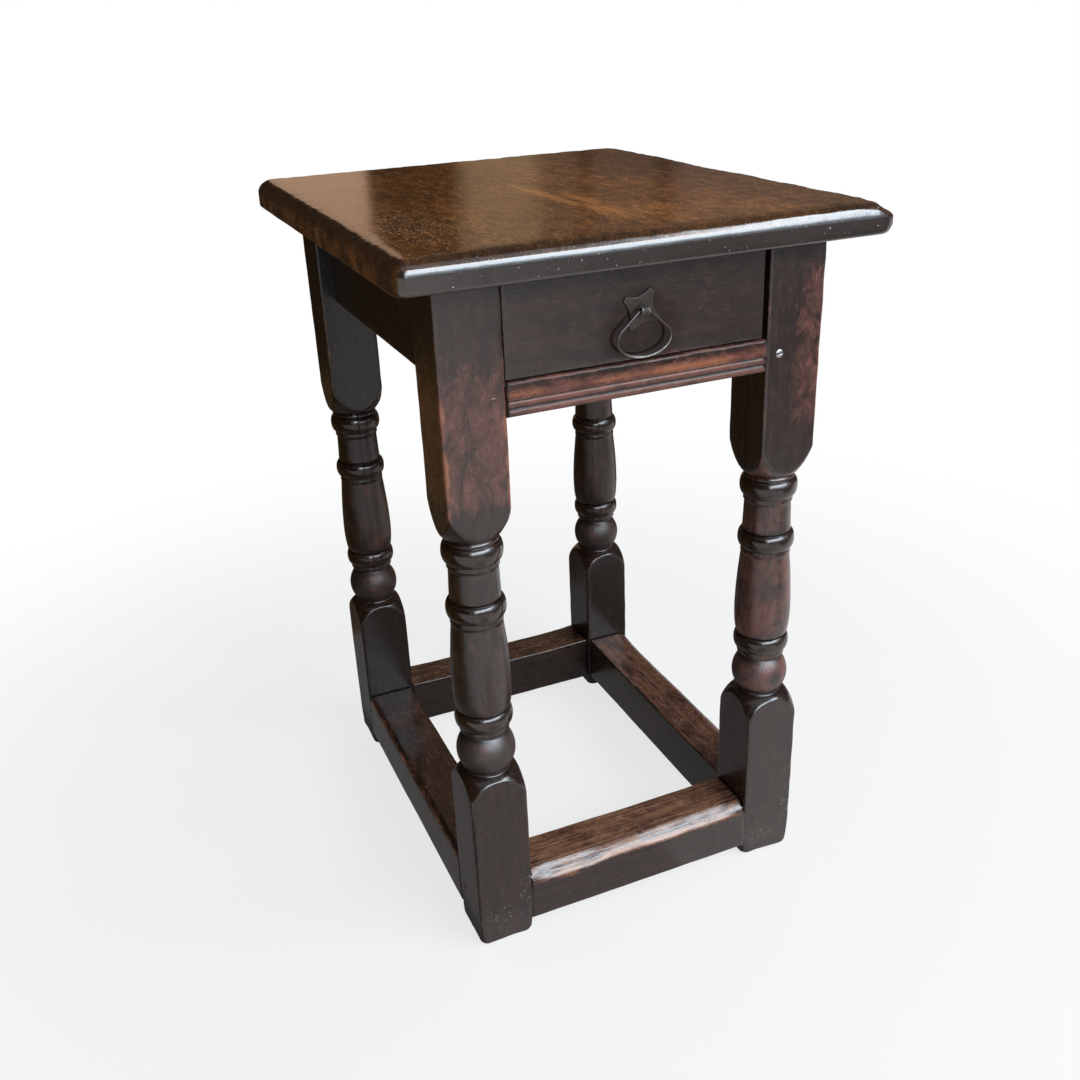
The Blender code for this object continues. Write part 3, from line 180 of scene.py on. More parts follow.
class StageLook(PropertyGroup):
    """The floor, the lamps and the screen that the polish reflects."""
    floor: tint("Floor", "Colour of the floor", (0.86, 0.86, 0.86))
    floor_lift: share("Floor lift", "How far the floor is lifted to white where it is seen", 0.74)
    room: level("Room light", "Light that reaches the wood from all round", 0.32)
    key: level("Key light", "Brightness of the window-like lamp at the right", 12.3)
    key_colour: tint("Key colour", "Colour of the lamp", (0.90, 0.955, 1.0))
    window: level("Window", "Brightness of the window in the polish", 13.5)
    glow: level("Glow", "Brightness of the paler light under the window in the polish", 2.0)


GROUPS = {
    "side_table_top": TopSizes,
    "side_table_legs": LegSizes,
    "side_table_frame": FrameSizes,
    "side_table_handle": HandleSizes,
    "side_table_woods": WoodColours,
    "side_table_metals": MetalColours,
    "side_table_stage": StageLook,
}


# Finishes

class Value:
    """A number in a finish. Sums and products of values become Math nodes."""

    def __init__(self, finish, socket):
        self.finish = finish
        self.socket = socket

    def math(self, operation, first, second):
        return self.finish.node("ShaderNodeMath", {"operation": operation}, {0: first, 1: second})

    def __add__(self, other):
        return self.math("ADD", self, other)

    def __radd__(self, other):
        return self.math("ADD", other, self)

    def __sub__(self, other):
        return self.math("SUBTRACT", self, other)

    def __rsub__(self, other):
        return self.math("SUBTRACT", other, self)

    def __mul__(self, other):
        return self.math("MULTIPLY", self, other)

    def __rmul__(self, other):
        return self.math("MULTIPLY", other, self)


class Finish:
    """A material, or the world, under construction."""

    def __init__(self, name, made=None):
        self.material = made or bpy.data.materials.new(name)
        self.material.use_nodes = True
        self.tree = self.material.node_tree
        self.tree.nodes.clear()
        self.place = self.node("ShaderNodeTexCoord", {}, {}, "Object")

    def node(self, kind, settings, sockets, output=0):
        """Adds a node: its settings first, then the values or links of its sockets."""
        made = self.tree.nodes.new(kind)
        for name, setting in settings.items():
            setattr(made, name, setting)
        for name, value in sockets.items():
            if isinstance(value, Value):
                self.tree.links.new(value.socket, made.inputs[name])
            else:
                made.inputs[name].default_value = value
        return Value(self, made.outputs[output]) if made.outputs else made

    def along(self, axis, ratio, shift=(0.0, 0.0, 0.0)):
        """Place in the piece, drawn out along the grain."""
        scale = [1.0, 1.0, 1.0]
        scale[axis] = ratio
        return self.node("ShaderNodeMapping", {}, {"Vector": self.place, "Scale": scale, "Location": shift})

    def cloud(self, vector, scale, detail=2.0, roughness=0.5, distortion=0.0):
        """Soft noise about 0.5."""
        return self.node("ShaderNodeTexNoise", {}, {
            "Vector": vector, "Scale": scale, "Detail": detail, "Roughness": roughness,
            "Distortion": distortion})

    def span(self, value, low, high):
        """0 below low, 1 above high, smooth between."""
        return self.node("ShaderNodeMapRange", {"interpolation_type": "SMOOTHSTEP"}, {
            "Value": value, "From Min": low, "From Max": high})

    def blend(self, factor, first, second):
        """A mix of two colours."""
        def full(colour):
            return colour if isinstance(colour, Value) else (*colour, 1.0)
        return self.node("ShaderNodeMix", {"data_type": "RGBA"},
                         {0: factor, 6: full(first), 7: full(second)}, 2)

    def painted(self, name):
        """A value painted on the piece's points."""
        return self.node("ShaderNodeAttribute", {"attribute_name": name}, {}, "Fac")

    def specks(self, scale, size, rarity):
        """Small dots, each in a cell of its own, most of them left out."""
        settings = {"voronoi_dimensions": "3D", "feature": "F1"}
        sockets = {"Vector": self.place, "Scale": scale}
        near = self.node("ShaderNodeTexVoronoi", settings, sockets, "Distance")
        cell = self.node("ShaderNodeTexVoronoi", settings, sockets, "Color")
        draw = self.node("ShaderNodeSeparateColor", {}, {0: cell})
        return (1 - self.span(near, size * 0.6, size)) * self.span(draw, rarity, rarity + 0.01)

    def close(self, colour, roughness, height, depth, metallic=0.0, specular=0.5):
        """Joins colour, roughness and relief to the surface."""
        relief = self.node("ShaderNodeBump", {}, {"Height": height, "Distance": depth, "Strength": 1.0})
        surface = self.node("ShaderNodeBsdfPrincipled", {}, {
            "Base Color": colour, "Roughness": roughness, "Metallic": metallic,
            "Specular IOR Level": specular, "Normal": relief})
        self.node("ShaderNodeOutputMaterial", {}, {"Surface": surface})
        return self.material


def kept(make):
    """Makes each finish only once for its name."""
    def finish(name, *rest):
        return bpy.data.materials.get(name) or make(name, *rest)
    return finish


@kept
def dark_oak(name, axis, woods, fine_figure=0.50, shine=0.65):
    """Stained and waxed oak of the frame: dark in the grain, red-brown where it is rubbed."""
    finish = Finish(name)
    streak = finish.cloud(finish.along(axis, 0.07), 170.0, 4.0, 0.62, 0.4)
    lines = finish.cloud(finish.along(axis, 0.025), 520.0, 3.0, 0.60, 0.2)
    fine = finish.cloud(finish.along(axis, 0.16), 820.0, 2.0, 0.6)
    pores = finish.span(finish.cloud(finish.along(axis, 0.09), 1500.0, 1.0, 0.5), 0.60, 0.70)
    patch = finish.cloud(finish.along(axis, 0.55), 78.0, 4.0, 0.55, 1.6)
    fleck = finish.cloud(finish.along(axis, 0.45), 560.0, 3.0, 0.68)
    wear, lined = finish.painted("wear"), finish.painted("lined")
    figure = (patch - 0.5) * (1 - lined * 0.50) + (fleck - 0.5) * fine_figure + (lines - 0.5) * lined * 0.9
    rub = finish.span(wear + figure, 0.36, 1.05)
    colour = finish.blend(finish.span(streak + (patch - 0.5) * 0.6, 0.36, 0.70),
                          woods.frame_dark, woods.frame_brown)
    colour = finish.blend(rub, colour, woods.frame_worn)
    colour = finish.blend(finish.span(figure + wear, 0.50, 1.15) * lined * 0.85, colour, woods.frame_trodden)
    bright = finish.span(finish.painted("rim") + (fleck - 0.5) * 0.9 + (lines - 0.5) * lined, 0.22, 0.85)
    colour = finish.blend(bright, colour, woods.frame_rim)
    colour = finish.blend(pores * fine_figure * (1 - rub * 0.4), colour, woods.wax)
    # This darkening towards the wax colour is real grime and wax in hollows and joints, and painted shade on
    # undersides, under the top and on the back legs.
    colour = finish.blend(finish.painted("grime_and_shade"), colour, woods.wax)
    dots = finish.specks(420.0, 0.20, 0.93) * finish.painted("specks")
    colour = finish.blend(dots, colour, woods.speck)
    scuff = finish.span(finish.cloud(finish.place, 420.0, 3.0, 0.75) + (fleck - 0.5) * 0.5, 0.62, 0.68)
    colour = finish.blend(scuff * finish.painted("scuff"), colour, woods.speck)
    rough = finish.painted("rough")
    roughness = (0.245 + (patch - 0.5) * 0.12 + (fleck - 0.5) * fine_figure * 0.3 + pores * 0.04 + rough * 0.35
                 + dots * 0.3 + (lines - 0.5) * lined * 0.20 - lined * 0.015 - finish.painted("gloss") * 0.12)
    height = ((streak * 0.20 + fine * 0.10 - pores * 0.12) * fine_figure + patch * 0.22
              + fleck * (0.05 + rough * 0.9) + lines * lined * 0.85)
    return finish.close(colour, roughness, height, 0.00042, specular=shine)


@kept
def top_oak(name, axis, woods):
    """Waxed oak of the top: brown figure, honey streaks, fine scratches."""
    finish = Finish(name)
    pith = finish.node("ShaderNodeVectorMath", {"operation": "LENGTH"}, {
        0: finish.along(axis, 0.085, (-0.070, -0.0008, -0.520))}, "Value")
    broad = finish.cloud(finish.along(axis, 0.35), 24.0, 3.0, 0.55, 0.5)
    blotch = finish.cloud(finish.along(axis, 0.50), 115.0, 4.0, 0.64, 0.3)
    fleck = finish.cloud(finish.along(axis, 0.28), 620.0, 3.0, 0.70)
    rings = finish.node("ShaderNodeTexNoise", {"noise_dimensions": "1D"}, {
        "W": pith * 420.0 + broad * 2.6, "Scale": 1.0, "Detail": 2.0, "Roughness": 0.6})
    pores = finish.span(finish.cloud(finish.along(axis, 0.08), 1300.0, 1.0, 0.5), 0.60, 0.70)
    figure = (finish.painted("tone") + (broad - 0.5) * 0.9 + (blotch - 0.5) * 1.9 + (fleck - 0.5) * 2.1
              + (rings - 0.5) * 0.7)
    colour = finish.blend(finish.span(figure, 0.10, 0.62), woods.top_dark, woods.top_brown)
    colour = finish.blend(finish.span(figure, 0.62, 1.20), colour, woods.top_red)
    thread = finish.cloud(finish.along(axis, 0.10), 300.0, 3.0, 0.62, 0.3)
    honey = finish.span(finish.painted("honey") + (blotch - 0.5) * 0.7 + (thread - 0.5) * 1.4 + (fleck - 0.5) * 0.6,
                        0.30, 1.00)
    colour = finish.blend(honey, colour, woods.top_honey)
    colour = finish.blend(pores * 0.45, colour, woods.wax)
    bloom = finish.specks(520.0, 0.38, 0.45) * finish.span(
        finish.painted("bloom") + (fleck - 0.5) * 1.2 + (blotch - 0.5) * 0.8, 0.16, 0.52)
    colour = finish.blend(bloom * 0.85, colour, woods.top_dust)
    arc = finish.cloud(finish.place, 26.0, 1.0, 0.4) - 0.5
    scratch = (1 - finish.span(arc * arc, 0.000002, 0.000012)) * finish.span(blotch, 0.52, 0.62)
    colour = finish.blend(scratch * 0.35, colour, woods.speck)
    # This darkening of the edge is dull dark wax, and painted shade along the edges of the top.
    edge = finish.painted("grime_and_shade")
    colour = finish.blend(edge, colour, woods.top_edge)
    chips = finish.span(finish.cloud(finish.place, 330.0, 3.0, 0.7), 0.675, 0.70) * edge
    colour = finish.blend(chips * 0.8, colour, woods.speck)
    dots = finish.specks(230.0, 0.12, 0.955)
    colour = finish.blend(dots * 0.8, colour, woods.speck)
    roughness = (0.145 + (blotch - 0.5) * 0.12 + (fleck - 0.5) * 0.10 + pores * 0.06 + dots * 0.3 + bloom * 0.08
                 - edge * 0.01)
    height = fleck * (0.40 + edge * 1.1) - pores * 0.20 + blotch * (0.40 + edge * 0.8) - scratch * 0.3 - chips * 0.8
    return finish.close(colour, roughness, height, 0.00006, specular=0.85)


@kept
def dry_oak(name, axis, woods):
    """Unpolished oak inside the table, rough from the saw and the plane."""
    finish = Finish(name)
    streak = finish.cloud(finish.along(axis, 0.06), 130.0, 4.0, 0.62, 0.5)
    fine = finish.cloud(finish.along(axis, 0.08), 900.0, 2.0, 0.6)
    pores = finish.span(finish.cloud(finish.along(axis, 0.09), 1300.0, 1.0, 0.5), 0.60, 0.70)
    stain = finish.cloud(finish.place, 22.0, 4.0, 0.6)
    colour = finish.blend(finish.span(streak * 0.7 + fine * 0.3, 0.34, 0.66), woods.lining_dark, woods.lining)
    colour = finish.blend(pores * 0.6, colour, woods.frame_brown)
    colour = finish.blend(finish.span(stain, 0.52, 0.78) * 0.55, colour, woods.frame_brown)
    roughness = 0.72 + (fine - 0.5) * 0.2
    height = streak * 0.3 + fine * 0.4 - pores * 0.5
    return finish.close(colour, roughness, height, 0.00035, specular=0.3)


@kept
def forged_iron(name, metals):
    """Blackened iron with a brown bloom, rubbed bright on its edges and sooty where it isn't touched; the bright
    colour also stands for a highlight along the drop's front, and the near-black colour for shade on the plate's
    sides and in the eye.
    """
    finish = Finish(name)
    hammer = finish.cloud(finish.place, 420.0, 3.0, 0.55)
    bloom = finish.cloud(finish.place, 950.0, 3.0, 0.6)
    rub = finish.span(finish.painted("wear") + (bloom - 0.5) * 0.7 + (hammer - 0.5) * 0.4, 0.40, 0.85)
    colour = finish.blend(finish.span(bloom, 0.48, 0.70), metals.iron, metals.iron_rust)
    # The bright iron colour is real rubbing, and a painted highlight along the drop's front.
    colour = finish.blend(rub, colour, metals.iron_rubbed_and_highlight)
    # The near-black colour is soot, and painted shade on the plate's sides and in the eye.
    soot_and_shade = finish.painted("grime_and_shade")
    colour = finish.blend(soot_and_shade, colour, metals.soot_and_shade)
    roughness = 0.23 + (bloom - 0.5) * 0.3 + soot_and_shade * 0.5
    metallic = (0.10 + rub * 0.85) * (1 - soot_and_shade)
    return finish.close(colour, roughness, hammer * 0.6 + bloom * 0.4, 0.00022, metallic, 0.42)


@kept
def dull_steel(name, metals):
    """Dull steel of the screw, with dirt in its slot."""
    finish = Finish(name)
    turned = finish.cloud(finish.place, 1500.0, 2.0, 0.6)
    stain = finish.cloud(finish.place, 420.0, 3.0, 0.6)
    dirt = finish.span(finish.painted("grime_and_shade") + (stain - 0.5) * 0.6, 0.35, 0.75)
    colour = finish.blend(dirt, metals.steel, metals.steel_stain)
    return finish.close(colour, 0.32 + dirt * 0.35, turned * 0.5 + stain * 0.5, 0.00010, 1 - dirt)


# Shaping

def ripple(point, size, seed):
    """Smooth noise from -1 to 1 over the given size."""
    return noise.noise(Vector(point) / size + Vector((seed * 7.31, seed * 3.17, -seed * 5.53)))


def limit(value, most=1.0):
    """The value, kept between nought and the most."""
    return min(max(value, 0.0), most)


def smooth(value, low, high):
    """0 at low, 1 at high, smooth between."""
    part = limit((value - low) / (high - low))
    return part * part * (3 - 2 * part)


def hump(value, middle, spread):
    """1 at the middle, fading to nought over the spread."""
    return math.exp(-((value - middle) / spread) ** 2)


def block(low, high):
    """A plain block between two corners."""
    form = bmesh.new()
    bmesh.ops.create_cube(form, size=1.0)
    span = Vector(high) - Vector(low)
    bmesh.ops.scale(form, vec=span, verts=form.verts)
    bmesh.ops.translate(form, vec=(Vector(low) + Vector(high)) / 2, verts=form.verts)
    return form


def soften(form, radius, segments, chosen):
    """Rounds the edges whose two ends pass the test."""
    edges = [edge for edge in form.edges if chosen(*[vert.co for vert in edge.verts])]
    bmesh.ops.bevel(form, geom=edges, offset=radius, segments=segments, profile=0.5, material=-1,
                    affect="EDGES", clamp_overlap=True)


def slice_across(form, axis, spacing):
    """Cuts a form across an axis at even distances, so that it can be shaped between its ends."""
    places = [vert.co[axis] for vert in form.verts]
    low, high = min(places), max(places)
    count = max(1, round((high - low) / spacing))
    normal = Vector((0.0, 0.0, 0.0))
    normal[axis] = 1.0
    for step in range(1, count):
        bmesh.ops.bisect_plane(form, geom=form.verts[:] + form.edges[:] + form.faces[:], dist=1e-7,
                               plane_co=normal * (low + (high - low) * step / count), plane_no=normal)


def shape(form, move):
    """Moves each point by what the function gives for its place and direction."""
    form.normal_update()
    moves = [move(vert.co, vert.normal) for vert in form.verts]
    for vert, step in zip(form.verts, moves):
        vert.co += step


def paint(form, name, value):
    """Paints a value on the points, from each point's place and direction."""
    layer = form.verts.layers.float.new(name)
    form.normal_update()
    for vert in form.verts:
        vert[layer] = limit(value(vert.co, vert.normal))


def points_of(drawn):
    """The points among the parts that an operator has drawn."""
    return [part for part in drawn if isinstance(part, bmesh.types.BMVert)]


def lay(form, name, finish):
    """Makes an object of a form and puts it in the scene."""
    mesh = bpy.data.meshes.new(name)
    form.to_mesh(mesh)
    form.free()
    mesh.materials.append(finish)
    piece = bpy.data.objects.new(name, mesh)
    bpy.context.scene.collection.objects.link(piece)
    return piece


def settle(form, name, body, finish, nodes, even=True):
    """Makes a finished piece of a form: its finish, the body it rides on and the nodes it stands for."""
    bmesh.ops.recalc_face_normals(form, faces=form.faces)
    piece = lay(form, name, finish)
    piece.data.shade_smooth()
    if even:
        piece.modifiers.new("Even faces", "WEIGHTED_NORMAL")
    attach(piece, body)
    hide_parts(*nodes)
    return piece


def refinish(node, finish):
    """Gives a piece that keeps its shape a better finish."""
    mesh = frame["nodes"][node].data
    mesh.materials.clear()
    mesh.materials.append(finish)


def longest_axis(node):
    """The axis that a node is longest on."""
    low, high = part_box(node)
    span = high - low
    return max((X, Y, Z), key=lambda axis: span[axis])


def spun(profile, steps):
    """A form turned about the Z axis from radius and height pairs."""
    form = bmesh.new()
    verts = [form.verts.new((radius, 0.0, height)) for radius, height in profile]
    edges = [form.edges.new(pair) for pair in zip(verts, verts[1:])]
    bmesh.ops.spin(form, geom=verts + edges, cent=(0.0, 0.0, 0.0), axis=(0.0, 0.0, 1.0),
                   dvec=(0.0, 0.0, 0.0), angle=math.tau, steps=steps, use_merge=True)
    bmesh.ops.remove_doubles(form, verts=form.verts, dist=1e-6)
    return form


# Turning of the legs

LEG_STEPS = 96
TURN_CROWDING = 0.62         # how far the steps round a leg are drawn towards its arrises
BLEND = 0.0009               # softness of the line where the turning meets the square
FILLET_HEIGHT = 0.0046
FILLET_RADIUS = 0.0208
TOP_RING_HEIGHT = 0.0159
RING_HEIGHT = 0.0152
COLUMN_HEIGHT = 0.0290
COLUMN_RADIUS = 0.0196
TAPER_HEIGHT = 0.0568        # from the upper end of the baluster to its belly
BALUSTER_FOOT = 0.0240       # from the belly to the lowest ring
NECK_RADIUS = 0.0180         # between the lowest ring and the ball
SHOULDER_RADIUS = 0.0195     # between the ball and the lower block
SHOULDER_HEIGHT = 0.027
RING_MIDDLES = (0.376, 0.327, 0.226)     # heights of the three rings
RING_SPREAD = 0.009


def rows(first, last, spacing):
    """Radius and height pairs between two of them, without the first."""
    count = max(1, math.ceil(abs(last[1] - first[1]) / spacing))
    return [tuple(a + (b - a) * step / count for a, b in zip(first, last)) for step in range(1, count + 1)]


def swell(wide, narrow, full, root, fullness, steps=34):
    """The curve from a square block to the turning."""
    points = []
    for step in range(steps + 1):
        turn = math.pi / 2 * step / steps
        out = math.cos(turn) ** (2 / fullness)
        onward = math.sin(turn) ** (2 / fullness)
        points.append((root + (full - root) * out, wide + (narrow - wide) * onward))
    return points


def ring(over, height, legs, steps=18):
    """A half-round ring, from its upper edge down."""
    points = []
    for step in range(steps + 1):
        turn = math.pi * step / steps
        radius = legs.ring_root + (legs.ring_radius - legs.ring_root) * math.sin(turn) ** 0.85
        points.append((radius, over - height * (1 - math.cos(turn)) / 2))
    return points


def baluster(over, belly, foot, legs, top_radius, foot_radius):
    """A long taper down to the belly, then a short round foot."""
    points = []
    for step in range(22):
        part = 1 - step / 22
        radius = top_radius + (legs.belly_radius - top_radius) * math.cos(math.pi / 2 * part)
        points.append((radius, belly + (over - belly) * part))
    for step in range(13):
        part = step / 12
        radius = foot_radius + (legs.belly_radius - foot_radius) * math.sqrt(max(0.0, 1 - part ** 2))
        points.append((radius, belly - (belly - foot) * part))
    return points


def leg_profile(legs):
    """Radius and height pairs of the turning, from the top of the leg to the floor."""
    block_radius = legs.square / math.sqrt(2) + 0.0003
    head = LEG_HIGH.z
    pommel_under = legs.pommel_over - legs.pommel_rise
    points = [(0.0, head), (block_radius * 0.5, head), (block_radius, head)]
    points += rows(points[-1], (block_radius, legs.pommel_over), 0.004)
    points += swell(legs.pommel_over, pommel_under, block_radius, legs.pommel_root, 1.3)[1:]
    over = pommel_under - 0.0036
    points += [(legs.quirk_radius, pommel_under), (legs.quirk_radius, over + 0.0003)]
    points += ring(over, TOP_RING_HEIGHT, legs)
    over -= TOP_RING_HEIGHT + FILLET_HEIGHT
    points += rows((legs.ring_root, over + FILLET_HEIGHT), (FILLET_RADIUS, over), 0.0015)
    points += [(COLUMN_RADIUS, over - 0.0001)]
    points += rows((COLUMN_RADIUS, over), (0.0207, over - COLUMN_HEIGHT), 0.003)
    over -= COLUMN_HEIGHT
    points += ring(over, RING_HEIGHT, legs)
    over -= RING_HEIGHT + FILLET_HEIGHT
    points += rows((legs.ring_root, over + FILLET_HEIGHT), (0.0214, over), 0.0015)
    belly = over - TAPER_HEIGHT
    foot = belly - BALUSTER_FOOT
    points += baluster(over, belly, foot, legs, 0.0208, 0.0213)
    points += ring(foot, RING_HEIGHT, legs)
    over = foot - RING_HEIGHT - FILLET_HEIGHT
    points += rows((legs.ring_root, over + FILLET_HEIGHT), (FILLET_RADIUS, over), 0.0015)
    points += [(NECK_RADIUS, over - 0.0001), (NECK_RADIUS, over - 0.0020)]
    over -= 0.0040
    middle = over - math.sqrt(legs.ball_radius ** 2 - NECK_RADIUS ** 2)
    first, last = math.acos(NECK_RADIUS / legs.ball_radius), -math.acos(SHOULDER_RADIUS / legs.ball_radius)
    for step in range(31):
        turn = first + (last - first) * step / 30
        points.append((legs.ball_radius * math.cos(turn), middle + legs.ball_radius * math.sin(turn)))
    under = points[-1][1]
    points += [(SHOULDER_RADIUS, under - 0.0017)]
    shoulder = under - 0.0035
    points += swell(shoulder - SHOULDER_HEIGHT, shoulder, block_radius, SHOULDER_RADIUS, 1.65)[::-1]
    points += rows(points[-1], (block_radius, 0.0090), 0.004)
    points += rows(points[-1], (block_radius, 0.0), 0.0009)
    return points + [(block_radius * 0.5, 0.0), (0.0, 0.0)]


def square_reach(turn, half, arris):
    """Middle of a square with rounded corners to its outline, at a turn."""
    far, near = abs(math.cos(turn)), abs(math.sin(turn))
    if far < near:
        far, near = near, far
    reach = half / far
    if reach * near <= half - arris:
        return reach
    along = (half - arris) * (far + near)
    return along + math.sqrt(max(0.0, along ** 2 - 2 * (half - arris) ** 2 + arris ** 2))


def lesser(first, second, softness):
    """The lesser of two lengths, blended where they meet."""
    part = limit(0.5 + 0.5 * (second - first) / softness)
    return second + (first - second) * part - softness * part * (1 - part)


def make_leg(name, place, seed, rubbed, turned_rub, legs, woods):
    """One leg: the turning, cut into by the square of its stock."""
    form = spun(leg_profile(legs), LEG_STEPS)
    half = legs.square / 2
    names = ("wear", "rim", "grime_and_shade", "specks", "rough", "scuff", "gloss")
    wear, rim, grime_and_shade, specks, rough, scuff, gloss = (form.verts.layers.float.new(layer) for layer in names)
    outward = Vector((math.copysign(1, place.x), math.copysign(1, place.y)))
    for vert in form.verts:
        turned = math.hypot(vert.co.x, vert.co.y)
        height = vert.co.z
        if turned < 1e-6:
            continue
        turn = math.atan2(vert.co.y, vert.co.x)
        turn += TURN_CROWDING / 4 * math.sin(4 * turn)
        facing = Vector((math.cos(turn), math.sin(turn)))
        spot = Vector((facing.x * half, facing.y * half, height)) + place
        arris = legs.arris * (1 + 0.7 * ripple(spot, 0.018, seed))
        arris += legs.foot_wear * (1 - smooth(height, 0.0, 0.022)) * (0.8 + 0.5 * ripple(spot, 0.03, seed + 7))
        square = square_reach(turn, half, arris)
        reach = lesser(turned, square, BLEND)
        if turned < half * 0.75:
            reach = turned
        blocky = smooth(turned - square, -0.0012, 0.0006)
        foot = 1 - smooth(height, 0.006, 0.045)
        reach += 0.00010 * ripple(spot, 0.011, seed) + 0.00024 * ripple(spot, 0.055, seed + 1)
        reach += foot * (0.00018 * ripple(spot, 0.005, seed + 5) - 0.0003)
        worn = legs.foot_wear * (1 + 0.45 * ripple(spot, 0.020, seed + 6))
        if height < worn:
            reach -= worn * (1 - math.sqrt(max(0.0, 1 - (1 - height / worn) ** 2)))
        vert.co.x, vert.co.y = reach * facing.x, reach * facing.y
        corner = smooth(square / half, 1.335, 1.388) * blocky
        outer = 0.5 + 0.25 * (math.copysign(1, facing.x) * outward.x + math.copysign(1, facing.y) * outward.y)
        upper = smooth(height, 0.392, 0.430) * (1 - 0.80 * smooth(height, 0.490, 0.560))
        if name == "leg_front_right":    # rubbed higher up, and most towards the right
            upper = smooth(height, 0.410, 0.450) * (1 - 0.80 * smooth(height, 0.545, 0.585)) * (
                0.55 + 0.75 * smooth(spot.x - place.x, -0.010, 0.012))
        patch = 0.5 + 0.5 * ripple(spot, 0.026, seed + 2)
        rub = blocky * rubbed * upper * (0.60 + 0.22 * patch)
        rub += corner * (0.20 + 0.25 * ripple(spot, 0.014, seed + 3))
        rub += blocky * (1 - smooth(height, 0.14, 0.2)) * 0.22 * patch
        rings = sum(hump(height, middle, RING_SPREAD) for middle in RING_MIDDLES)
        over_shoulder = smooth(height, 0.176, 0.182)
        rub += (1 - blocky) * (1 - min(rings, 1.0)) * turned_rub * (0.5 + 0.8 * patch) * over_shoulder
        vert[wear] = limit(rub)
        bare = smooth(square / half, 1.27, 1.37) * blocky * (0.25 + 0.75 * outer) * (
            0.30 + 0.25 * rubbed + 0.9 * ripple(spot, 0.012, seed + 4))
        bare *= (1 - 0.85 * smooth(height, 0.480, 0.530)) * (0.12 + 0.88 * smooth(height, 0.37, 0.40))
        bare *= 1.15 if place.x < 0 else 0.50
        vert[rim] = limit(bare)
        # Darkened with wax in the narrow hollows of the turning and over the lowest 12 mm; the back legs' blocks are
        # also painted darker, as painted shade, because they stand in shade under the table.
        hollow = (1 - smooth(turned, 0.0182, 0.0210)) * 0.85
        hollow += 0.35 * (1 - smooth(height, 0.0, 0.012)) + 0.55 * (place.y > 0) * blocky
        vert[grime_and_shade] = limit(hollow, 0.9)
        vert[specks] = 0.06 + 0.94 * (1 - smooth(height, 0.02, 0.085))
        ball = over_shoulder * (1 - smooth(height, 0.206, 0.212))
        dull = (0.15 + 0.45 * ball) * (1 - rings) * smooth(height, 0.174, 0.180)
        vert[rough] = foot * 0.8 + (1 - blocky) * max(0.05, dull)
        vert[gloss] = (1 - blocky) * min(1.0, rings + 1 - smooth(height, 0.170, 0.178) + smooth(height, 0.384, 0.390))
        vert[scuff] = blocky * rubbed * min(
            1.0, hump(height, 0.026, 0.008) * hump(spot.x - place.x, -0.006, 0.012) * 0.8
            + hump(height, 0.052, 0.016) * smooth(spot.x - place.x, 0.006, 0.020)) * smooth(-facing.y, 0.5, 0.8)
    bmesh.ops.translate(form, vec=place, verts=form.verts)
    # The back legs take a less shiny copy of the oak, which reads darker: painted shade, like their darker blocks.
    if place.y > 0:
        finish = dark_oak(f"Dull oak, grain {GRAIN[Z]}", Z, woods, 0.50, 0.46)
    else:
        finish = dark_oak(f"Dark oak, grain {GRAIN[Z]}", Z, woods)
    settle(form, name + "_turned", "frame", finish, [name], even=False)


LEG_RUB = {                  # how far hands have rubbed each leg's upper block, and its turning
    "leg_front_left": (1.0, 0.44), "leg_front_right": (0.72, 0.74),
    "leg_back_left": (0.25, 0.46), "leg_back_right": (0.25, 0.40)}


class SIDETABLE_OT_legs(Operator):
    """Makes the four turned legs"""
    bl_idname = "side_table.make_legs"
    bl_label = "Turned legs"

    def execute(self, context):
        scene = context.scene
        for seed, (name, rubs) in enumerate(LEG_RUB.items(), 1):
            low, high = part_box(name)
            middle = (low + high) / 2
            make_leg(name, Vector((middle.x, middle.y, 0.0)), seed, *rubs,
                     scene.side_table_legs, scene.side_table_woods)
        return {"FINISHED"}


# Top board

HONEY_PATCHES = (            # place, spread and strength of the honey-coloured patches
    (-0.007, -0.040, 0.008, 0.085, 1.00),
    (0.010, -0.085, 0.008, 0.055, 0.95),
    (0.002, -0.135, 0.018, 0.050, 0.92),
    (0.000, -0.060, 0.030, 0.100, 0.34),
    (-0.030, 0.010, 0.020, 0.050, 0.42),
    (0.060, -0.015, 0.010, 0.045, 0.58),
    (0.086, -0.015, 0.010, 0.045, 0.52),
    (0.073, 0.024, 0.015, 0.016, 0.52),
    (0.130, -0.070, 0.028, 0.050, 0.46),
    (0.030, -0.150, 0.045, 0.045, 0.60),
    (0.100, -0.160, 0.050, 0.035, 0.36),
)
END_HOLLOWS = (              # place, spread and depth of the wear along the right end
    (0.035, 0.034, 0.0026),
    (-0.020, 0.030, 0.0022),
    (-0.120, 0.030, 0.0014),
    (0.112, 0.026, -0.0024),
)
EDGE_SCALLOPS = (            # place, spread and depth of the shallow scallops in the right end's upper round
    (0.030, 0.040, 0.0020),
    (-0.085, 0.022, 0.0012),
    (-0.150, 0.026, 0.0010),
)


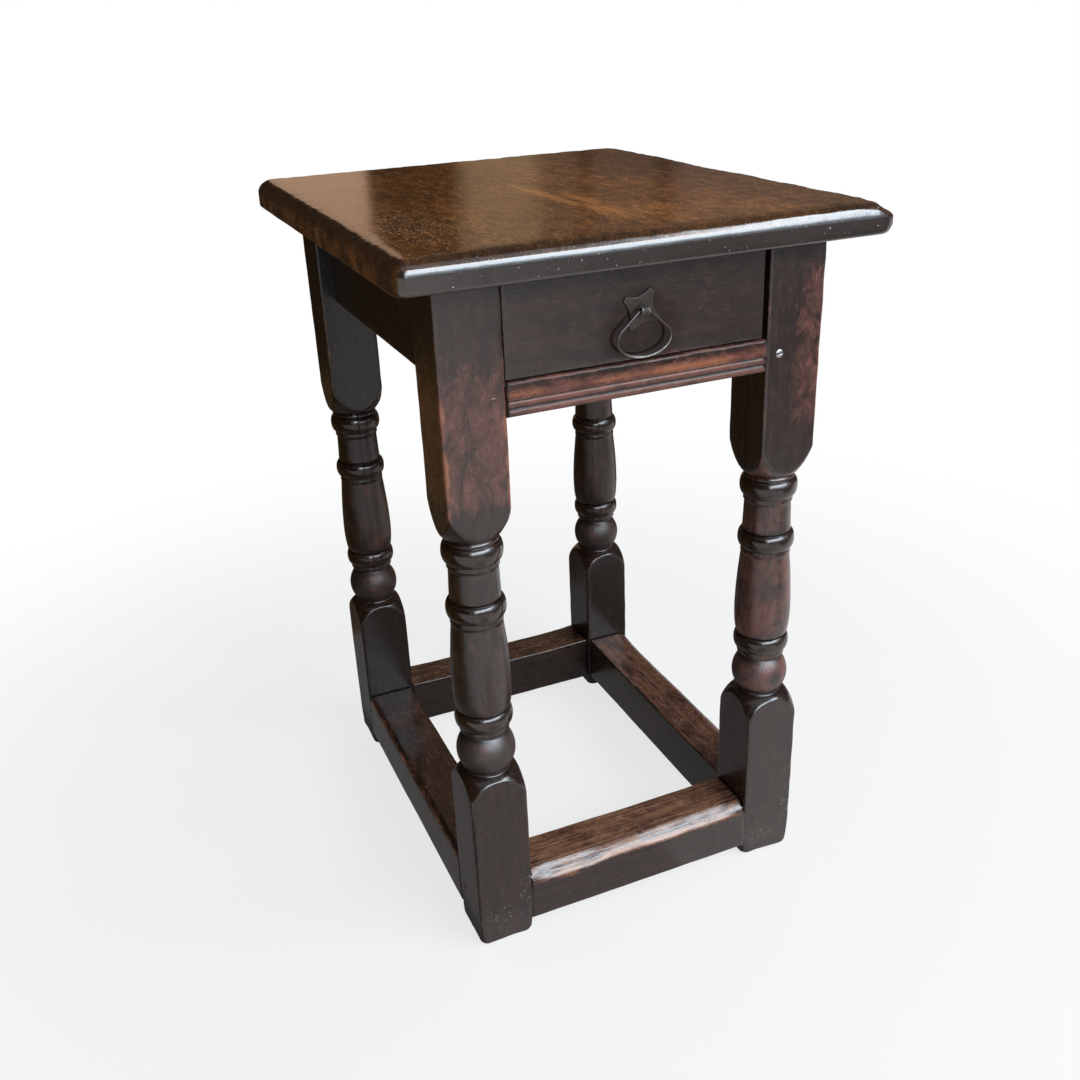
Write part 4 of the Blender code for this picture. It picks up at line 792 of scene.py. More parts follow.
class SIDETABLE_OT_top(Operator):
    """Makes the top board"""
    bl_idname = "side_table.make_top"
    bl_label = "Top board"

    def execute(self, context):
        top = context.scene.side_table_top
        form = block(TOP_LOW, TOP_HIGH)

        def upright(first, second):
            return abs(first.z - second.z) > 0.5 * (TOP_HIGH.z - TOP_LOW.z)

        def corner(right, back):
            return lambda a, b: upright(a, b) and all(
                (place.x > 0) == right and (place.y > 0) == back for place in (a, b))

        soften(form, top.worn_corner, 12, corner(True, True))
        soften(form, top.crisp_corner, 8, corner(True, False))
        soften(form, top.corner_radius, 10, corner(False, True))
        soften(form, top.crisp_corner, 8, corner(False, False))
        soften(form, top.edge_round, 10, lambda a, b: min(a.z, b.z) > TOP_HIGH.z - 1e-6)
        soften(form, top.lower_arris, 4, lambda a, b: max(a.z, b.z) < TOP_LOW.z + 1e-6)
        slice_across(form, X, 0.0034)
        slice_across(form, Y, 0.0034)
        slice_across(form, Z, 0.006)
        half = (TOP_HIGH - TOP_LOW) / 2
        middle = (TOP_HIGH + TOP_LOW) / 2

        def inset(place):
            """Distance from the nearest edge of the board."""
            return min(half.x - abs(place.x - middle.x), half.y - abs(place.y - middle.y))

        def worn(place, facing):
            side = Vector((facing.x, facing.y, 0.0))
            step = side * (top.edge_wear * (ripple(place, 0.060, 1) - 0.5) - 0.0002 * abs(ripple(place, 0.009, 2)))
            if facing.z > 0.2 or place.z > middle.z:
                step.z -= top.ripple * (1 + ripple(place, 0.070, 3)) * max(facing.z, 0.0)
                teeth = 0.005 * ripple(place, 0.016, 4) + 0.003 * ripple(place, 0.007, 8)
                near = 1 - smooth(inset(place) + teeth, 0.002, 0.016)
                step.z -= near * max(facing.z, 0.0) * 0.0010
                droop = smooth(place.x, half.x - 0.034, half.x) * smooth(-place.y, half.y - 0.036, half.y)
                step.z -= droop * 0.0020 * smooth(place.z, middle.z, TOP_HIGH.z)
            if place.x > half.x * 0.9:
                near = smooth(place.x, half.x * 0.93, half.x)
                hollow = sum(depth * hump(place.y, at, spread) for at, spread, depth in END_HOLLOWS)
                scallop = sum(depth * hump(place.y, at, spread) for at, spread, depth in EDGE_SCALLOPS)
                step.x -= near * hollow
                step.x += 0.0066 * near * smooth(-place.y, half.y - 0.050, half.y) * (
                    1 - 1.5 * smooth(place.z, middle.z - 0.002, TOP_HIGH.z)
                    - 0.5 * smooth(-place.z, 0.004 - middle.z, -TOP_LOW.z))
                step.z -= scallop * smooth(place.x, half.x * 0.90, half.x) * smooth(place.z, middle.z, TOP_HIGH.z)
            return step

        shape(form, worn)

        def honey(place, facing):
            spots = [amount * hump(place.x, x, wide) * hump(place.y, y, long)
                     for x, y, wide, long, amount in HONEY_PATCHES]
            return max(spots) * smooth(facing.z, 0.2, 0.8)

        def tone(place, facing):
            return (0.30 + 0.30 * smooth(place.x, -0.10, 0.03) - 0.32 * smooth(place.x, 0.07, 0.16)
                    + 0.14 * smooth(-place.y, -0.05, 0.15) + 0.12 * ripple(place, 0.045, 5))

        # Dark wax and painted shade at the edges of the top: the round and the sides take the dark edge colour, and a
        # band 10 to 20 mm inside the edges of the top face is painted darker as shade. The lower half of the left
        # side is kept lighter: dust there, and a painted reflection of the brown floor.
        def grime_and_shade(place, facing):
            left = smooth(-facing.x, 0.5, 0.9)
            rounded = (0.98 - 0.18 * smooth(facing.z, 0.25, 0.60) - 0.10 * left) * (
                1 - smooth(facing.z, 0.93, 0.9998))
            rim = 0.55 * (1 - smooth(inset(place) + 0.005 * ripple(place, 0.020, 6), 0.010, 0.020))
            dusty = 0.95 * left * (0.55 + ripple(place, 0.014, 7)) * (
                1 - 0.85 * smooth(place.z, middle.z - 0.001, middle.z + 0.007))
            return max(rounded, rim * smooth(facing.z, 0.5, 0.9)) - max(dusty, 0.0)

        paint(form, "honey", honey)
        paint(form, "tone", tone)
        paint(form, "bloom", lambda place, facing: smooth(facing.z, 0.8, 0.98) * (
            0.95 * hump(place.x, -0.146, 0.024) * hump(place.y, -0.115, 0.060)
            + 0.28 * hump(place.x, -0.090, 0.050) * hump(place.y, -0.140, 0.070)
            + 0.16 * smooth(-place.y, 0.10, 0.20)))
        paint(form, "grime_and_shade", grime_and_shade)
        settle(form, "top_board_planed", "frame",
               top_oak("Top oak", Y, context.scene.side_table_woods), ["top_board"])
        return {"FINISHED"}


# Stretchers and rails

def between_legs(name, axis):
    """Corners of a rail or stretcher without its tenons, and how far it reaches from the middle."""
    low, high = (corner.copy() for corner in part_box(name))
    reach = LEG_INNER[axis] + SHOULDER_LAP
    low[axis], high[axis] = -reach, reach
    return low, high, reach


def make_stretcher(name, axis, sizes, woods, seed, trod):
    """A stretcher whose outer upper edge and top are worn by feet."""
    low, high, reach = between_legs(name, axis)
    across = X if axis == Y else Y
    outward = 1 if (low[across] + high[across]) > 0 else -1
    outer = high[across] if outward > 0 else low[across]
    wear = sizes.stretcher_wear * trod ** 2

    def runs(first, second):
        return abs(first[axis] - second[axis]) > reach

    def trodden(first, second):
        return runs(first, second) and min(first.z, second.z) > high.z - 1e-6 and all(
            abs(place[across] - outer) < 1e-6 for place in (first, second))

    form = block(low, high)
    soften(form, wear, 12, trodden)
    soften(form, sizes.arris, 3, lambda a, b: runs(a, b) and all(
        min(abs(place[across] - side) for side in (low[across], high[across])) < 1e-6
        and min(abs(place.z - level) for level in (low.z, high.z)) < 1e-6 for place in (a, b)))
    slice_across(form, axis, 0.0035)
    slice_across(form, across, 0.0035)
    slice_across(form, Z, 0.006)
    crest = Vector((0.0, 0.0, high.z - wear))
    crest[across] = outer - outward * wear

    def edge_turn(place):
        """0 on the face and on the top, 1 in the middle of the worn round."""
        up, out = place.z - crest.z, outward * (place[across] - crest[across])
        return smooth(min(up, out), -0.002, wear * 0.6)

    def worn(place, facing):
        step = facing * sizes.ripple * (ripple(place, 0.050, seed) - 0.3)
        along = Vector((place[axis], outer, 0.0))
        ends = 1 - smooth(abs(place[axis]), reach * 0.80, reach)
        tread = 0.0023 + 0.0013 * ripple(along, 0.032, seed) + 0.0005 * ripple(along, 0.011, seed + 5)
        step -= facing * edge_turn(place) * max(tread, 0.0) * (0.4 + 0.6 * ends) * trod ** 2
        step -= facing * edge_turn(place) * 0.00009 * (1 + ripple((place[axis], place[across] * 9, place.z * 9),
                                                                  0.030, seed + 8))
        dip = 0.0012 * smooth(place.z, low.z + 0.02, high.z) * (1 - smooth(abs(place[axis]), reach * 0.45, reach))
        step.z -= dip * (1 + 0.7 * ripple(place, 0.040, seed + 1))
        inner = 1 - smooth(abs(place[across] - (low[across] + high[across] - outer)), 0.0, 0.006)
        step[across] += outward * inner * 0.0005 * (1 + ripple(along, 0.028, seed + 9)) * smooth(
            place.z, low.z + 0.03, high.z)
        step.z += 0.0004 * (1 - smooth(place.z, low.z, low.z + 0.006)) * (1 + ripple(along, 0.022, seed + 6))
        return step

    def crown(place):
        """1 on the rim under the worn edge, which shows the bare oak."""
        along = Vector((place[axis], outer, 0.0))
        at = high.z - wear * (0.95 + 0.25 * ripple(along, 0.032, seed))
        return hump(place.z, at, 0.0022) * (abs(place[across] - outer) < wear)

    shape(form, worn)

    def rub(place, facing):
        up = smooth(facing.z, 0.1, 0.9)
        face = abs(facing[across]) * (1 - up)
        return (up * trod * (0.76 + 0.14 * ripple(place, 0.03, seed + 3)) + 0.30 * crown(place)
                + 0.16 * (1 + ripple(place, 0.045, seed + 4)) * face)

    paint(form, "wear", rub)
    paint(form, "lined", lambda place, facing: trod * (1.0 if axis == X else 0.75) * smooth(facing.z, 0.05, 0.5))
    paint(form, "rim", lambda place, facing: crown(place) * (0.40 + 0.7 * ripple(place, 0.014, seed + 7)))
    # Dark joint lines at the ends against the legs, and painted shade: the underside is painted darker.
    paint(form, "grime_and_shade", lambda place, facing: 0.8 * smooth(abs(place[axis]), reach - 0.0035, reach)
          + 0.4 * smooth(-facing.z, 0.3, 0.9))
    paint(form, "specks", lambda place, facing: 0.25)
    settle(form, name + "_worn", "frame",
           dark_oak(f"Dark oak, grain {GRAIN[axis]}", axis, woods), [name])


def make_rail(name, axis, sizes, woods, seed):
    """A plain deep rail between two legs."""
    low, high, reach = between_legs(name, axis)
    form = block(low, high)
    soften(form, 0.0012, 3, lambda a, b: abs(a[axis] - b[axis]) > reach)
    slice_across(form, axis, 0.006)
    slice_across(form, Z, 0.006)
    shape(form, lambda place, facing: facing * sizes.ripple * (ripple(place, 0.050, seed) - 0.2))
    paint(form, "wear", lambda place, facing: 0.30 * (1 + ripple(place, 0.05, seed + 1))
          + 0.35 * (1 - smooth(place.z, low.z, low.z + 0.006)))
    # Dark joint lines at the ends against the legs, and painted shade: the upper 50 mm, under the top's overhang, is
    # painted darker.
    paint(form, "grime_and_shade", lambda place, facing: 0.10 + 0.6 * smooth(abs(place[axis]), reach - 0.004, reach)
          + 0.5 * smooth(place.z, high.z - 0.050, high.z))
    paint(form, "rough", lambda place, facing: 0.55)
    settle(form, name + "_planed", "frame",
           dark_oak(f"Dull oak, grain {GRAIN[axis]}", axis, woods, 0.50, 0.28), [name])


STRETCHERS = (               # name, axis and how far feet have worn each stretcher
    ("stretcher_front", X, 1.0), ("stretcher_back", X, 0.8),
    ("stretcher_left", Y, 0.62), ("stretcher_right", Y, 0.92))
RAILS = (("rail_back", X), ("rail_left", Y), ("rail_right", Y))


class SIDETABLE_OT_stretchers(Operator):
    """Makes the four worn stretchers"""
    bl_idname = "side_table.make_stretchers"
    bl_label = "Stretchers"

    def execute(self, context):
        scene = context.scene
        for seed, (name, axis, trod) in enumerate(STRETCHERS):
            make_stretcher(name, axis, scene.side_table_frame, scene.side_table_woods, 11 + 3 * seed, trod)
        return {"FINISHED"}


class SIDETABLE_OT_rails(Operator):
    """Makes the side rails and the back rail"""
    bl_idname = "side_table.make_rails"
    bl_label = "Side and back rails"

    def execute(self, context):
        scene = context.scene
        for seed, (name, axis) in enumerate(RAILS):
            make_rail(name, axis, scene.side_table_frame, scene.side_table_woods, 21 + 2 * seed)
        return {"FINISHED"}


class SIDETABLE_OT_drawer_rail(Operator):
    """Makes the moulded rail under the drawer"""
    bl_idname = "side_table.make_drawer_rail"
    bl_label = "Drawer rail"

    def execute(self, context):
        sizes = context.scene.side_table_frame
        low, high = RAIL_LOW, RAIL_HIGH
        face, depth = low.y, high.y - low.y
        section = [(face + depth, low.z)]
        height = low.z
        for _ in range(2):
            for step in range(13):
                turn = math.pi * step / 12
                section.append((face + sizes.bead_sink * (1 - math.sin(turn)),
                                height + sizes.bead_height * (1 - math.cos(turn)) / 2))
            height += sizes.bead_height + sizes.bead_quirk
            section.append((face + sizes.bead_sink, height - sizes.bead_quirk / 2))
        band = height
        section += [(face + 0.0001, height), (face, height + 0.0008)]
        section += [(face, height + (high.z - sizes.rail_wear - height) * part) for part in (0.3, 0.6, 0.85)]
        for step in range(7):
            turn = math.pi / 2 * step / 6
            section.append((face + sizes.rail_wear * (1 - math.cos(turn)),
                            high.z - sizes.rail_wear * (1 - math.sin(turn))))
        section += [(face + depth * part, high.z) for part in (0.2, 0.5, 1.0)]
        reach = LEG_INNER.x + SHOULDER_LAP
        form = bmesh.new()
        outline = form.faces.new([form.verts.new((-reach, y, z)) for y, z in section])
        drawn = bmesh.ops.extrude_face_region(form, geom=[outline])["geom"]
        bmesh.ops.translate(form, vec=(2 * reach, 0.0, 0.0), verts=points_of(drawn))
        slice_across(form, X, 0.004)

        def worn(place, facing):
            step = facing * 0.00016 * (ripple(place, 0.030, 31) - 0.4)
            front = 1 - smooth(place.y, face, face + 0.006)
            lip = front * smooth(place.z, high.z - 0.004, high.z)
            step.z -= lip * 0.0008 * max(0.0, 0.4 + ripple(place, 0.016, 32) + 0.5 * ripple(place, 0.007, 33))
            step.y += lip * 0.0005 * max(0.0, 0.3 + ripple(place, 0.013, 34))
            return step

        shape(form, worn)

        def rub(place, facing):
            front = 1 - smooth(place.y, face + 0.0005, face + 0.006)
            low_band = hump(place.z, band + 0.0040, 0.0042) * (0.70 + 0.55 * ripple(place, 0.040, 35))
            upper = smooth(place.z, high.z - 0.0024, high.z) * (0.55 + 0.5 * ripple(place, 0.02, 36))
            crest = (place.z < band) * (1 - smooth(place.y, face, face + 0.0006))
            return front * (0.39 + 0.9 * low_band + upper * 0.8 + 0.42 * crest * (1 + 0.5 * ripple(place, 0.03, 37)))

        def bare(place, facing):
            front = 1 - smooth(place.y, face + 0.0005, face + 0.004)
            low_band = hump(place.z, band + 0.0036, 0.0036) * (0.68 + 1.1 * ripple(place, 0.045, 38))
            low_band *= 1 - 0.8 * smooth(place.x, 0.070, 0.095)
            lip = smooth(place.z, high.z - 0.0016, high.z) * (0.25 + 0.7 * ripple(place, 0.012, 39))
            return front * (low_band + 0.30 * (place.z < band) + lip)

        def grime_and_shade(place, facing):
            quirk = smooth(place.y, face + sizes.bead_sink * 0.55, face + sizes.bead_sink)
            quirk *= (place.z < band + 0.0002) * (place.y < face + 0.004)
            ends = smooth(abs(place.x), reach - 0.0020, reach - 0.0004)
            return 0.12 * (place.z < band) + 0.75 * quirk + 0.85 * ends

        paint(form, "wear", rub)
        paint(form, "rim", bare)
        paint(form, "grime_and_shade", grime_and_shade)
        paint(form, "specks", lambda place, facing: 0.2)
        paint(form, "rough", lambda place, facing: 0.45 * (place.z < band + 0.0004)
              + 0.9 * smooth(place.z, high.z - 0.0026, high.z - 0.0008))
        settle(form, "drawer_rail_moulded", "frame",
               dark_oak("Rail oak", X, context.scene.side_table_woods, 0.45, 0.38), ["drawer_rail"])
        return {"FINISHED"}


# Drawer

DRAWER_EASE = 0.0006         # how much nearer the left leg the front is than in the frame


class SIDETABLE_OT_drawer_front(Operator):
    """Makes the drawer front"""
    bl_idname = "side_table.make_drawer_front"
    bl_label = "Drawer front"

    def execute(self, context):
        form = block(FRONT_LOW - Vector((DRAWER_EASE, 0.0, 0.0)), FRONT_HIGH)
        soften(form, 0.0011, 3, lambda a, b: max(a.y, b.y) < FRONT_LOW.y + 1e-6)
        slice_across(form, X, 0.004)
        slice_across(form, Z, 0.004)

        def worn(place, facing):
            step = facing * 0.00016 * (ripple(place, 0.045, 41) - 0.6)
            rim = min(place.z - FRONT_LOW.z, FRONT_HIGH.z - place.z)
            if place.y < FRONT_LOW.y + 0.004:
                step.y += 0.0005 * (1 - smooth(rim, 0.0, 0.0045)) * max(0.0, 0.3 + ripple(place, 0.012, 42))
            return step

        shape(form, worn)
        paint(form, "wear", lambda place, facing: (place.y < FRONT_LOW.y + 0.004) * (
            0.10 + 0.22 * ripple(place, 0.038, 43)
            + 0.14 * hump(place.x, 0.040, 0.030) + 0.12 * hump(place.x, -0.050, 0.030)
            + 0.3 * (1 - smooth(place.z, FRONT_LOW.z, FRONT_LOW.z + 0.004))))
        # The front is painted darker over its top 6 mm.
        paint(form, "grime_and_shade", lambda place, facing: 0.6 * smooth(place.z, FRONT_HIGH.z - 0.006, FRONT_HIGH.z))
        low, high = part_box("handle_drop")
        held = (low + high) / 2      # where hands have polished the front
        paint(form, "gloss", lambda place, facing: 0.9 * (1 - smooth(
            math.hypot(place.x - held.x, place.z - held.z), 0.022, 0.038)))
        paint(form, "specks", lambda place, facing: 0.12)
        settle(form, "drawer_front_planed", "drawer",
               dark_oak("Front oak", X, context.scene.side_table_woods, 0.20), ["drawer_front"])
        return {"FINISHED"}


class SIDETABLE_OT_linings(Operator):
    """Finishes the drawer's box and the pieces that carry it"""
    bl_idname = "side_table.finish_linings"
    bl_label = "Drawer box and linings"

    def execute(self, context):
        woods = context.scene.side_table_woods
        for row in frame["record"]["subparts"]:
            if row["material_slot"] == "lining_oak":
                axis = longest_axis(row["node"])
                refinish(row["node"], dry_oak(f"Dry oak, grain {GRAIN[axis]}", axis, woods))
        return {"FINISHED"}


# Pegs, nails and the screw

def make_peg(node, woods, seed):
    """A riven peg with a slightly domed end."""
    low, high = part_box(node)
    axis = longest_axis(node)
    middle = (low + high) / 2
    outward = 1 if middle[axis] > 0 else -1
    radius = (high[(axis + 1) % 3] - low[(axis + 1) % 3]) / 2
    span = high[axis] - low[axis]
    profile = [(0.0, 0.0), (radius * 0.5, -0.00004), (radius * 0.82, -0.00012), (radius * 0.96, -0.00035),
               (radius, -0.0009), (radius * 0.97, -span * 0.5), (radius * 0.9, -span), (0.0, -span)]
    form = spun(profile, 12)
    shape(form, lambda place, facing: Vector((facing.x, facing.y, 0.0)) * 0.00022 *
          (ripple(place, 0.004, seed) - 0.5))
    turn = Vector((0.0, 0.0, 1.0)).rotation_difference(
        Vector([outward if part == axis else 0.0 for part in (X, Y, Z)]))
    end = middle.copy()
    end[axis] = high[axis] if outward > 0 else low[axis]
    bmesh.ops.transform(form, matrix=Matrix.Translation(end) @ turn.to_matrix().to_4x4(), verts=form.verts)
    paint(form, "wear", lambda place, facing: 0.66 if node == "peg_drawer_rail_front_left" else 0.30)
    settle(form, node + "_riven", "frame", dark_oak("Peg oak", Z, woods), [node])


SCREW_RISE = 0.0009          # dome of the screw's head
SLOT_HALF = 0.00075          # half the width of the screw's slot
SLOT_DEPTH = 0.0011
SLOT_TILT = math.radians(8)


class SIDETABLE_OT_fixings(Operator):
    """Makes the pegs and the screw, and finishes the nails"""
    bl_idname = "side_table.make_fixings"
    bl_label = "Pegs, nails and screw"

    def execute(self, context):
        woods, metals = context.scene.side_table_woods, context.scene.side_table_metals
        for seed, row in enumerate(frame["record"]["subparts"]):
            if row["material_slot"] == "peg_oak":
                make_peg(row["node"], woods, 50 + seed)
            elif row["node"].startswith("nail"):
                refinish(row["node"], forged_iron("Black iron", metals))
        self.make_screw(metals)
        return {"FINISHED"}

    def make_screw(self, metals):
        low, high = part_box("rail_screw")
        radius = (high.x - low.x) / 2
        profile = [(radius * math.sin(math.pi / 2 * step / 8), SCREW_RISE * math.cos(math.pi / 2 * step / 8))
                   for step in range(9)]
        profile += [(radius * 0.985, -0.00030), (radius * 0.58, -0.0030), (radius * 0.55, low.y - high.y + 0.004),
                    (0.0, low.y - high.y)]
        form = spun(profile, 32)
        wall = Vector((-math.sin(SLOT_TILT), math.cos(SLOT_TILT), 0.0))
        for side in (-1, 1):
            bmesh.ops.bisect_plane(form, geom=form.verts[:] + form.edges[:] + form.faces[:], dist=1e-7,
                                   plane_co=wall * side * SLOT_HALF, plane_no=wall)
        slot = [face for face in form.faces if face.normal.z > 0.3 and face.calc_center_median().z > 0
                and abs(face.calc_center_median().dot(wall)) < SLOT_HALF]
        floor = points_of(bmesh.ops.extrude_face_region(form, geom=slot)["geom"])
        bmesh.ops.delete(form, geom=slot, context="FACES_ONLY")
        bmesh.ops.translate(form, vec=(0.0, 0.0, -SLOT_DEPTH), verts=floor)
        paint(form, "grime_and_shade", lambda place, facing: 0.95 if abs(place.dot(wall)) < 0.0007 else
              0.42 - 0.25 * smooth(math.hypot(place.x, place.y), radius * 0.66, radius * 0.92))
        head = Vector(((low.x + high.x) / 2, low.y + SCREW_RISE, (low.z + high.z) / 2))
        bmesh.ops.transform(form, matrix=Matrix.Translation(head) @ Matrix.Rotation(math.pi / 2, 4, "X"),
                            verts=form.verts)
        settle(form, "rail_screw_slotted", "frame", dull_steel("Dull steel", metals), ["rail_screw"])


# Drop handle

PLATE_TURN = math.radians(58)
PLATE_RIM = 0.0002           # height of the plate's filed rim


class SIDETABLE_OT_handle(Operator):
    """Makes the iron plate, the eye and the drop"""
    bl_idname = "side_table.make_handle"
    bl_label = "Drop handle"

    def execute(self, context):
        sizes = context.scene.side_table_handle
        iron = forged_iron("Black iron", context.scene.side_table_metals)
        hinge = next(joint for joint in frame["joints"] if joint["name"] == "drop_swing")
        self.bar = Vector(hinge["pos_m"])
        self.middle_z = (PLATE_LOW.z + PLATE_HIGH.z) / 2
        self.make_plate(sizes, iron)
        self.make_eye(sizes, iron)
        self.make_drop(sizes, iron)
        return {"FINISHED"}

    def make_plate(self, sizes, iron):
        start = Vector((sizes.point_radius, sizes.point_width / 2))
        stop = Vector((sizes.point_width / 2, sizes.point_radius))
        waist = Vector((sizes.waist_radius, sizes.waist_radius)) / math.sqrt(2)
        pull = 2 * waist - (start + stop) / 2
        form = bmesh.new()
        verts = []
        for point in range(4):
            turn = Matrix.Rotation(PLATE_TURN + math.tau * point / 4, 2)
            for step in range(15):
                part = step / 14
                spot = turn @ (start * (1 - part) ** 2 + pull * 2 * part * (1 - part) + stop * part ** 2)
                spot *= 1 + 0.025 * ripple((spot.x, spot.y, 0.0), 0.005, 61)
                verts.append(form.verts.new((self.bar.x + spot.x, PLATE_HIGH.y, self.middle_z + spot.y)))
        outline = form.faces.new(verts)
        drawn = bmesh.ops.extrude_face_region(form, geom=[outline])["geom"]
        bmesh.ops.translate(form, vec=(0.0, PLATE_LOW.y - PLATE_HIGH.y + PLATE_RIM, 0.0), verts=points_of(drawn))
        front = next(part for part in drawn if isinstance(part, bmesh.types.BMFace))
        bmesh.ops.inset_region(form, faces=[front], thickness=0.00045, depth=PLATE_RIM)
        bmesh.ops.inset_region(form, faces=[front], thickness=0.0008, depth=0.0)
        slice_across(form, X, 0.0012)
        slice_across(form, Z, 0.0012)
        rims = {edge for edge in form.edges if len(edge.link_faces) == 2 and edge.calc_face_angle(0.0) > 0.3}
        edge_verts = {vert for edge in rims for vert in edge.verts}
        layer = form.verts.layers.float.new("wear")
        for vert in form.verts:
            vert[layer] = 0.80 + 0.6 * ripple(vert.co, 0.006, 62) if vert in edge_verts else 0.06
        # Painted shade, with soot: the narrow sides of the plate are painted near black, standing in for the dark
        # outline where the plate stands off the wood.
        paint(form, "grime_and_shade", lambda place, facing: smooth(facing.y, -0.80, -0.55))
        shape(form, lambda place, facing: facing * 0.00010 * ripple(place, 0.004, 63))
        settle(form, "handle_plate_forged", "drawer", iron, ["handle_plate"])

    def make_eye(self, sizes, iron):
        low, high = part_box("handle_eye")
        inside = high.y - sizes.eye_strip / 2
        leg = (0.0004 + sizes.eye_strip) / 2
        radius = sizes.eye_bore + sizes.eye_strip / 2
        start = math.asin(leg / radius)
        clench = (high.z - low.z) / 2
        path = [(inside, clench), (inside, leg)]
        for step in range(37):
            turn = start + (math.tau - 2 * start) * step / 36
            path.append((self.bar.y + radius * math.cos(turn), radius * math.sin(turn)))
        path += [(inside, -leg), (inside, -clench)]
        form = bmesh.new()
        left = self.bar.x - sizes.eye_width / 2
        verts = [form.verts.new((left, y, self.middle_z + z)) for y, z in path]
        edges = [form.edges.new(pair) for pair in zip(verts, verts[1:])]
        for _ in range(5):
            drawn = bmesh.ops.extrude_edge_only(form, edges=edges)["geom"]
            edges = [part for part in drawn if isinstance(part, bmesh.types.BMEdge)]
            bmesh.ops.translate(form, vec=(sizes.eye_width / 5, 0.0, 0.0), verts=points_of(drawn))
        paint(form, "wear", lambda place, facing: 0.12 + 0.50 * smooth(
            abs(place.x - self.bar.x), sizes.eye_width * 0.36, sizes.eye_width * 0.5))
        # Painted shade, with soot: the middle of the strip is painted near black and dull, leaving its two ends
        # glossy.
        paint(form, "grime_and_shade", lambda place, facing: 0.85 - 0.75 * smooth(
            abs(place.x - self.bar.x), sizes.eye_width * 0.20, sizes.eye_width * 0.48))
        piece = settle(form, "handle_eye_folded", "drawer", iron, ["handle_eye"], even=False)
        wall = piece.modifiers.new("Strip", "SOLIDIFY")
        wall.thickness, wall.offset, wall.use_even_offset = sizes.eye_strip, 0.0, True
        edge = piece.modifiers.new("Filed edges", "BEVEL")
        edge.width, edge.segments = 0.00025, 2

    def make_drop(self, sizes, iron):
        half, bar = sizes.drop_width / 2, sizes.bar / 2
        rise = sizes.drop_length - sizes.bowl
        reach = math.hypot(bar / half, rise / sizes.bowl)
        touch = math.atan2(rise / sizes.bowl, bar / half) - math.acos(1 / reach)
        path = [(bar * part, 0.0) for part in (-0.9, -0.45, 0.0, 0.45, 0.9)]
        end = (half * math.cos(touch), sizes.bowl * math.sin(touch) - rise)
        parts = (0.03, 0.10, 0.22, 0.4, 0.6, 0.8)
        path += [(bar + (end[0] - bar) * part, end[1] * part) for part in parts]
        for step in range(65):
            turn = touch - (math.pi + 2 * touch) * step / 64
            path.append((half * math.cos(turn), sizes.bowl * math.sin(turn) - rise))
        path += [(-bar - (end[0] - bar) * part, end[1] * part) for part in reversed(parts)]
        curve = bpy.data.curves.new("drop path", "CURVE")
        curve.dimensions = "3D"
        curve.bevel_depth = sizes.wire / 2
        curve.bevel_resolution = 4
        spline = curve.splines.new("POLY")
        spline.points.add(len(path) - 1)
        for point, (x, z) in zip(spline.points, path):
            point.co = (self.bar.x + x, self.bar.y, self.bar.z + z, 1.0)
        spline.use_cyclic_u = True
        wire = bpy.data.objects.new("drop path", curve)
        bpy.context.scene.collection.objects.link(wire)
        mesh = wire.evaluated_get(bpy.context.evaluated_depsgraph_get()).to_mesh()
        form = bmesh.new()
        form.from_mesh(mesh)
        bpy.data.objects.remove(wire)
        bpy.data.curves.remove(curve)
        bmesh.ops.remove_doubles(form, verts=form.verts, dist=1e-6)
        shape(form, lambda place, facing: facing * 0.00012 * (ripple(place, 0.006, 71) - 0.6))

        # Painted highlight, with real rubbing: the side of the wire that faces the front, most of all low down, is
        # painted bright, standing in for the highlight along the wire.
        def rub(place, facing):
            low = smooth((place.x - self.bar.x) * 0.25 - (place.z - self.bar.z), 0.022, 0.033)
            return 0.08 + (0.30 + 0.60 * low) * smooth(-facing.y, 0.90, 0.998) + 0.16 * ripple(place, 0.008, 72)

        paint(form, "wear", rub)
        settle(form, "handle_drop_forged", "drop", iron, ["handle_drop"], even=False)


# Stage

CAMERA_PLACE = (-0.3855, -0.9115, 0.7508)
CAMERA_TURN = math.radians(-22.5395)
CAMERA_TILT = math.radians(25.3482)
CAMERA_ROLL = math.radians(2.4505)
CAMERA_LENS = 37.81
LAMP_TURN, LAMP_RISE, LAMP_AWAY = math.radians(34), math.radians(28.5), 2.3
LAMP_WIDE, LAMP_HIGH = 2.20, 0.60
LAMP_AIM = Vector((0.0, 0.0, 0.35))
FLOOR_REACH = 20.0
SCREEN_AT = 1.6              # distance of the reflected screen behind the table
ROOM_HEIGHT = 4.8
SCREEN_FIRST = (0.030, 0.018, 0.010)
SCREEN_BANDS = (             # where each upright band of the screen begins, its softness and its colour
    (0.020, 0.020, (0.62, 0.405, 0.275)),
    (0.285, 0.012, (0.012, 0.008, 0.005)),
    (0.500, 0.060, (0.27, 0.19, 0.115)),
    (0.690, 0.070, (0.090, 0.066, 0.050)),
    (0.790, 0.040, (0.030, 0.022, 0.018)),
    (0.830, 0.040, (0.088, 0.068, 0.056)),
    (1.000, 0.040, (0.040, 0.030, 0.026)),
    (1.060, 0.060, (0.125, 0.098, 0.084)),
)
SCREEN_REACH = 4.0
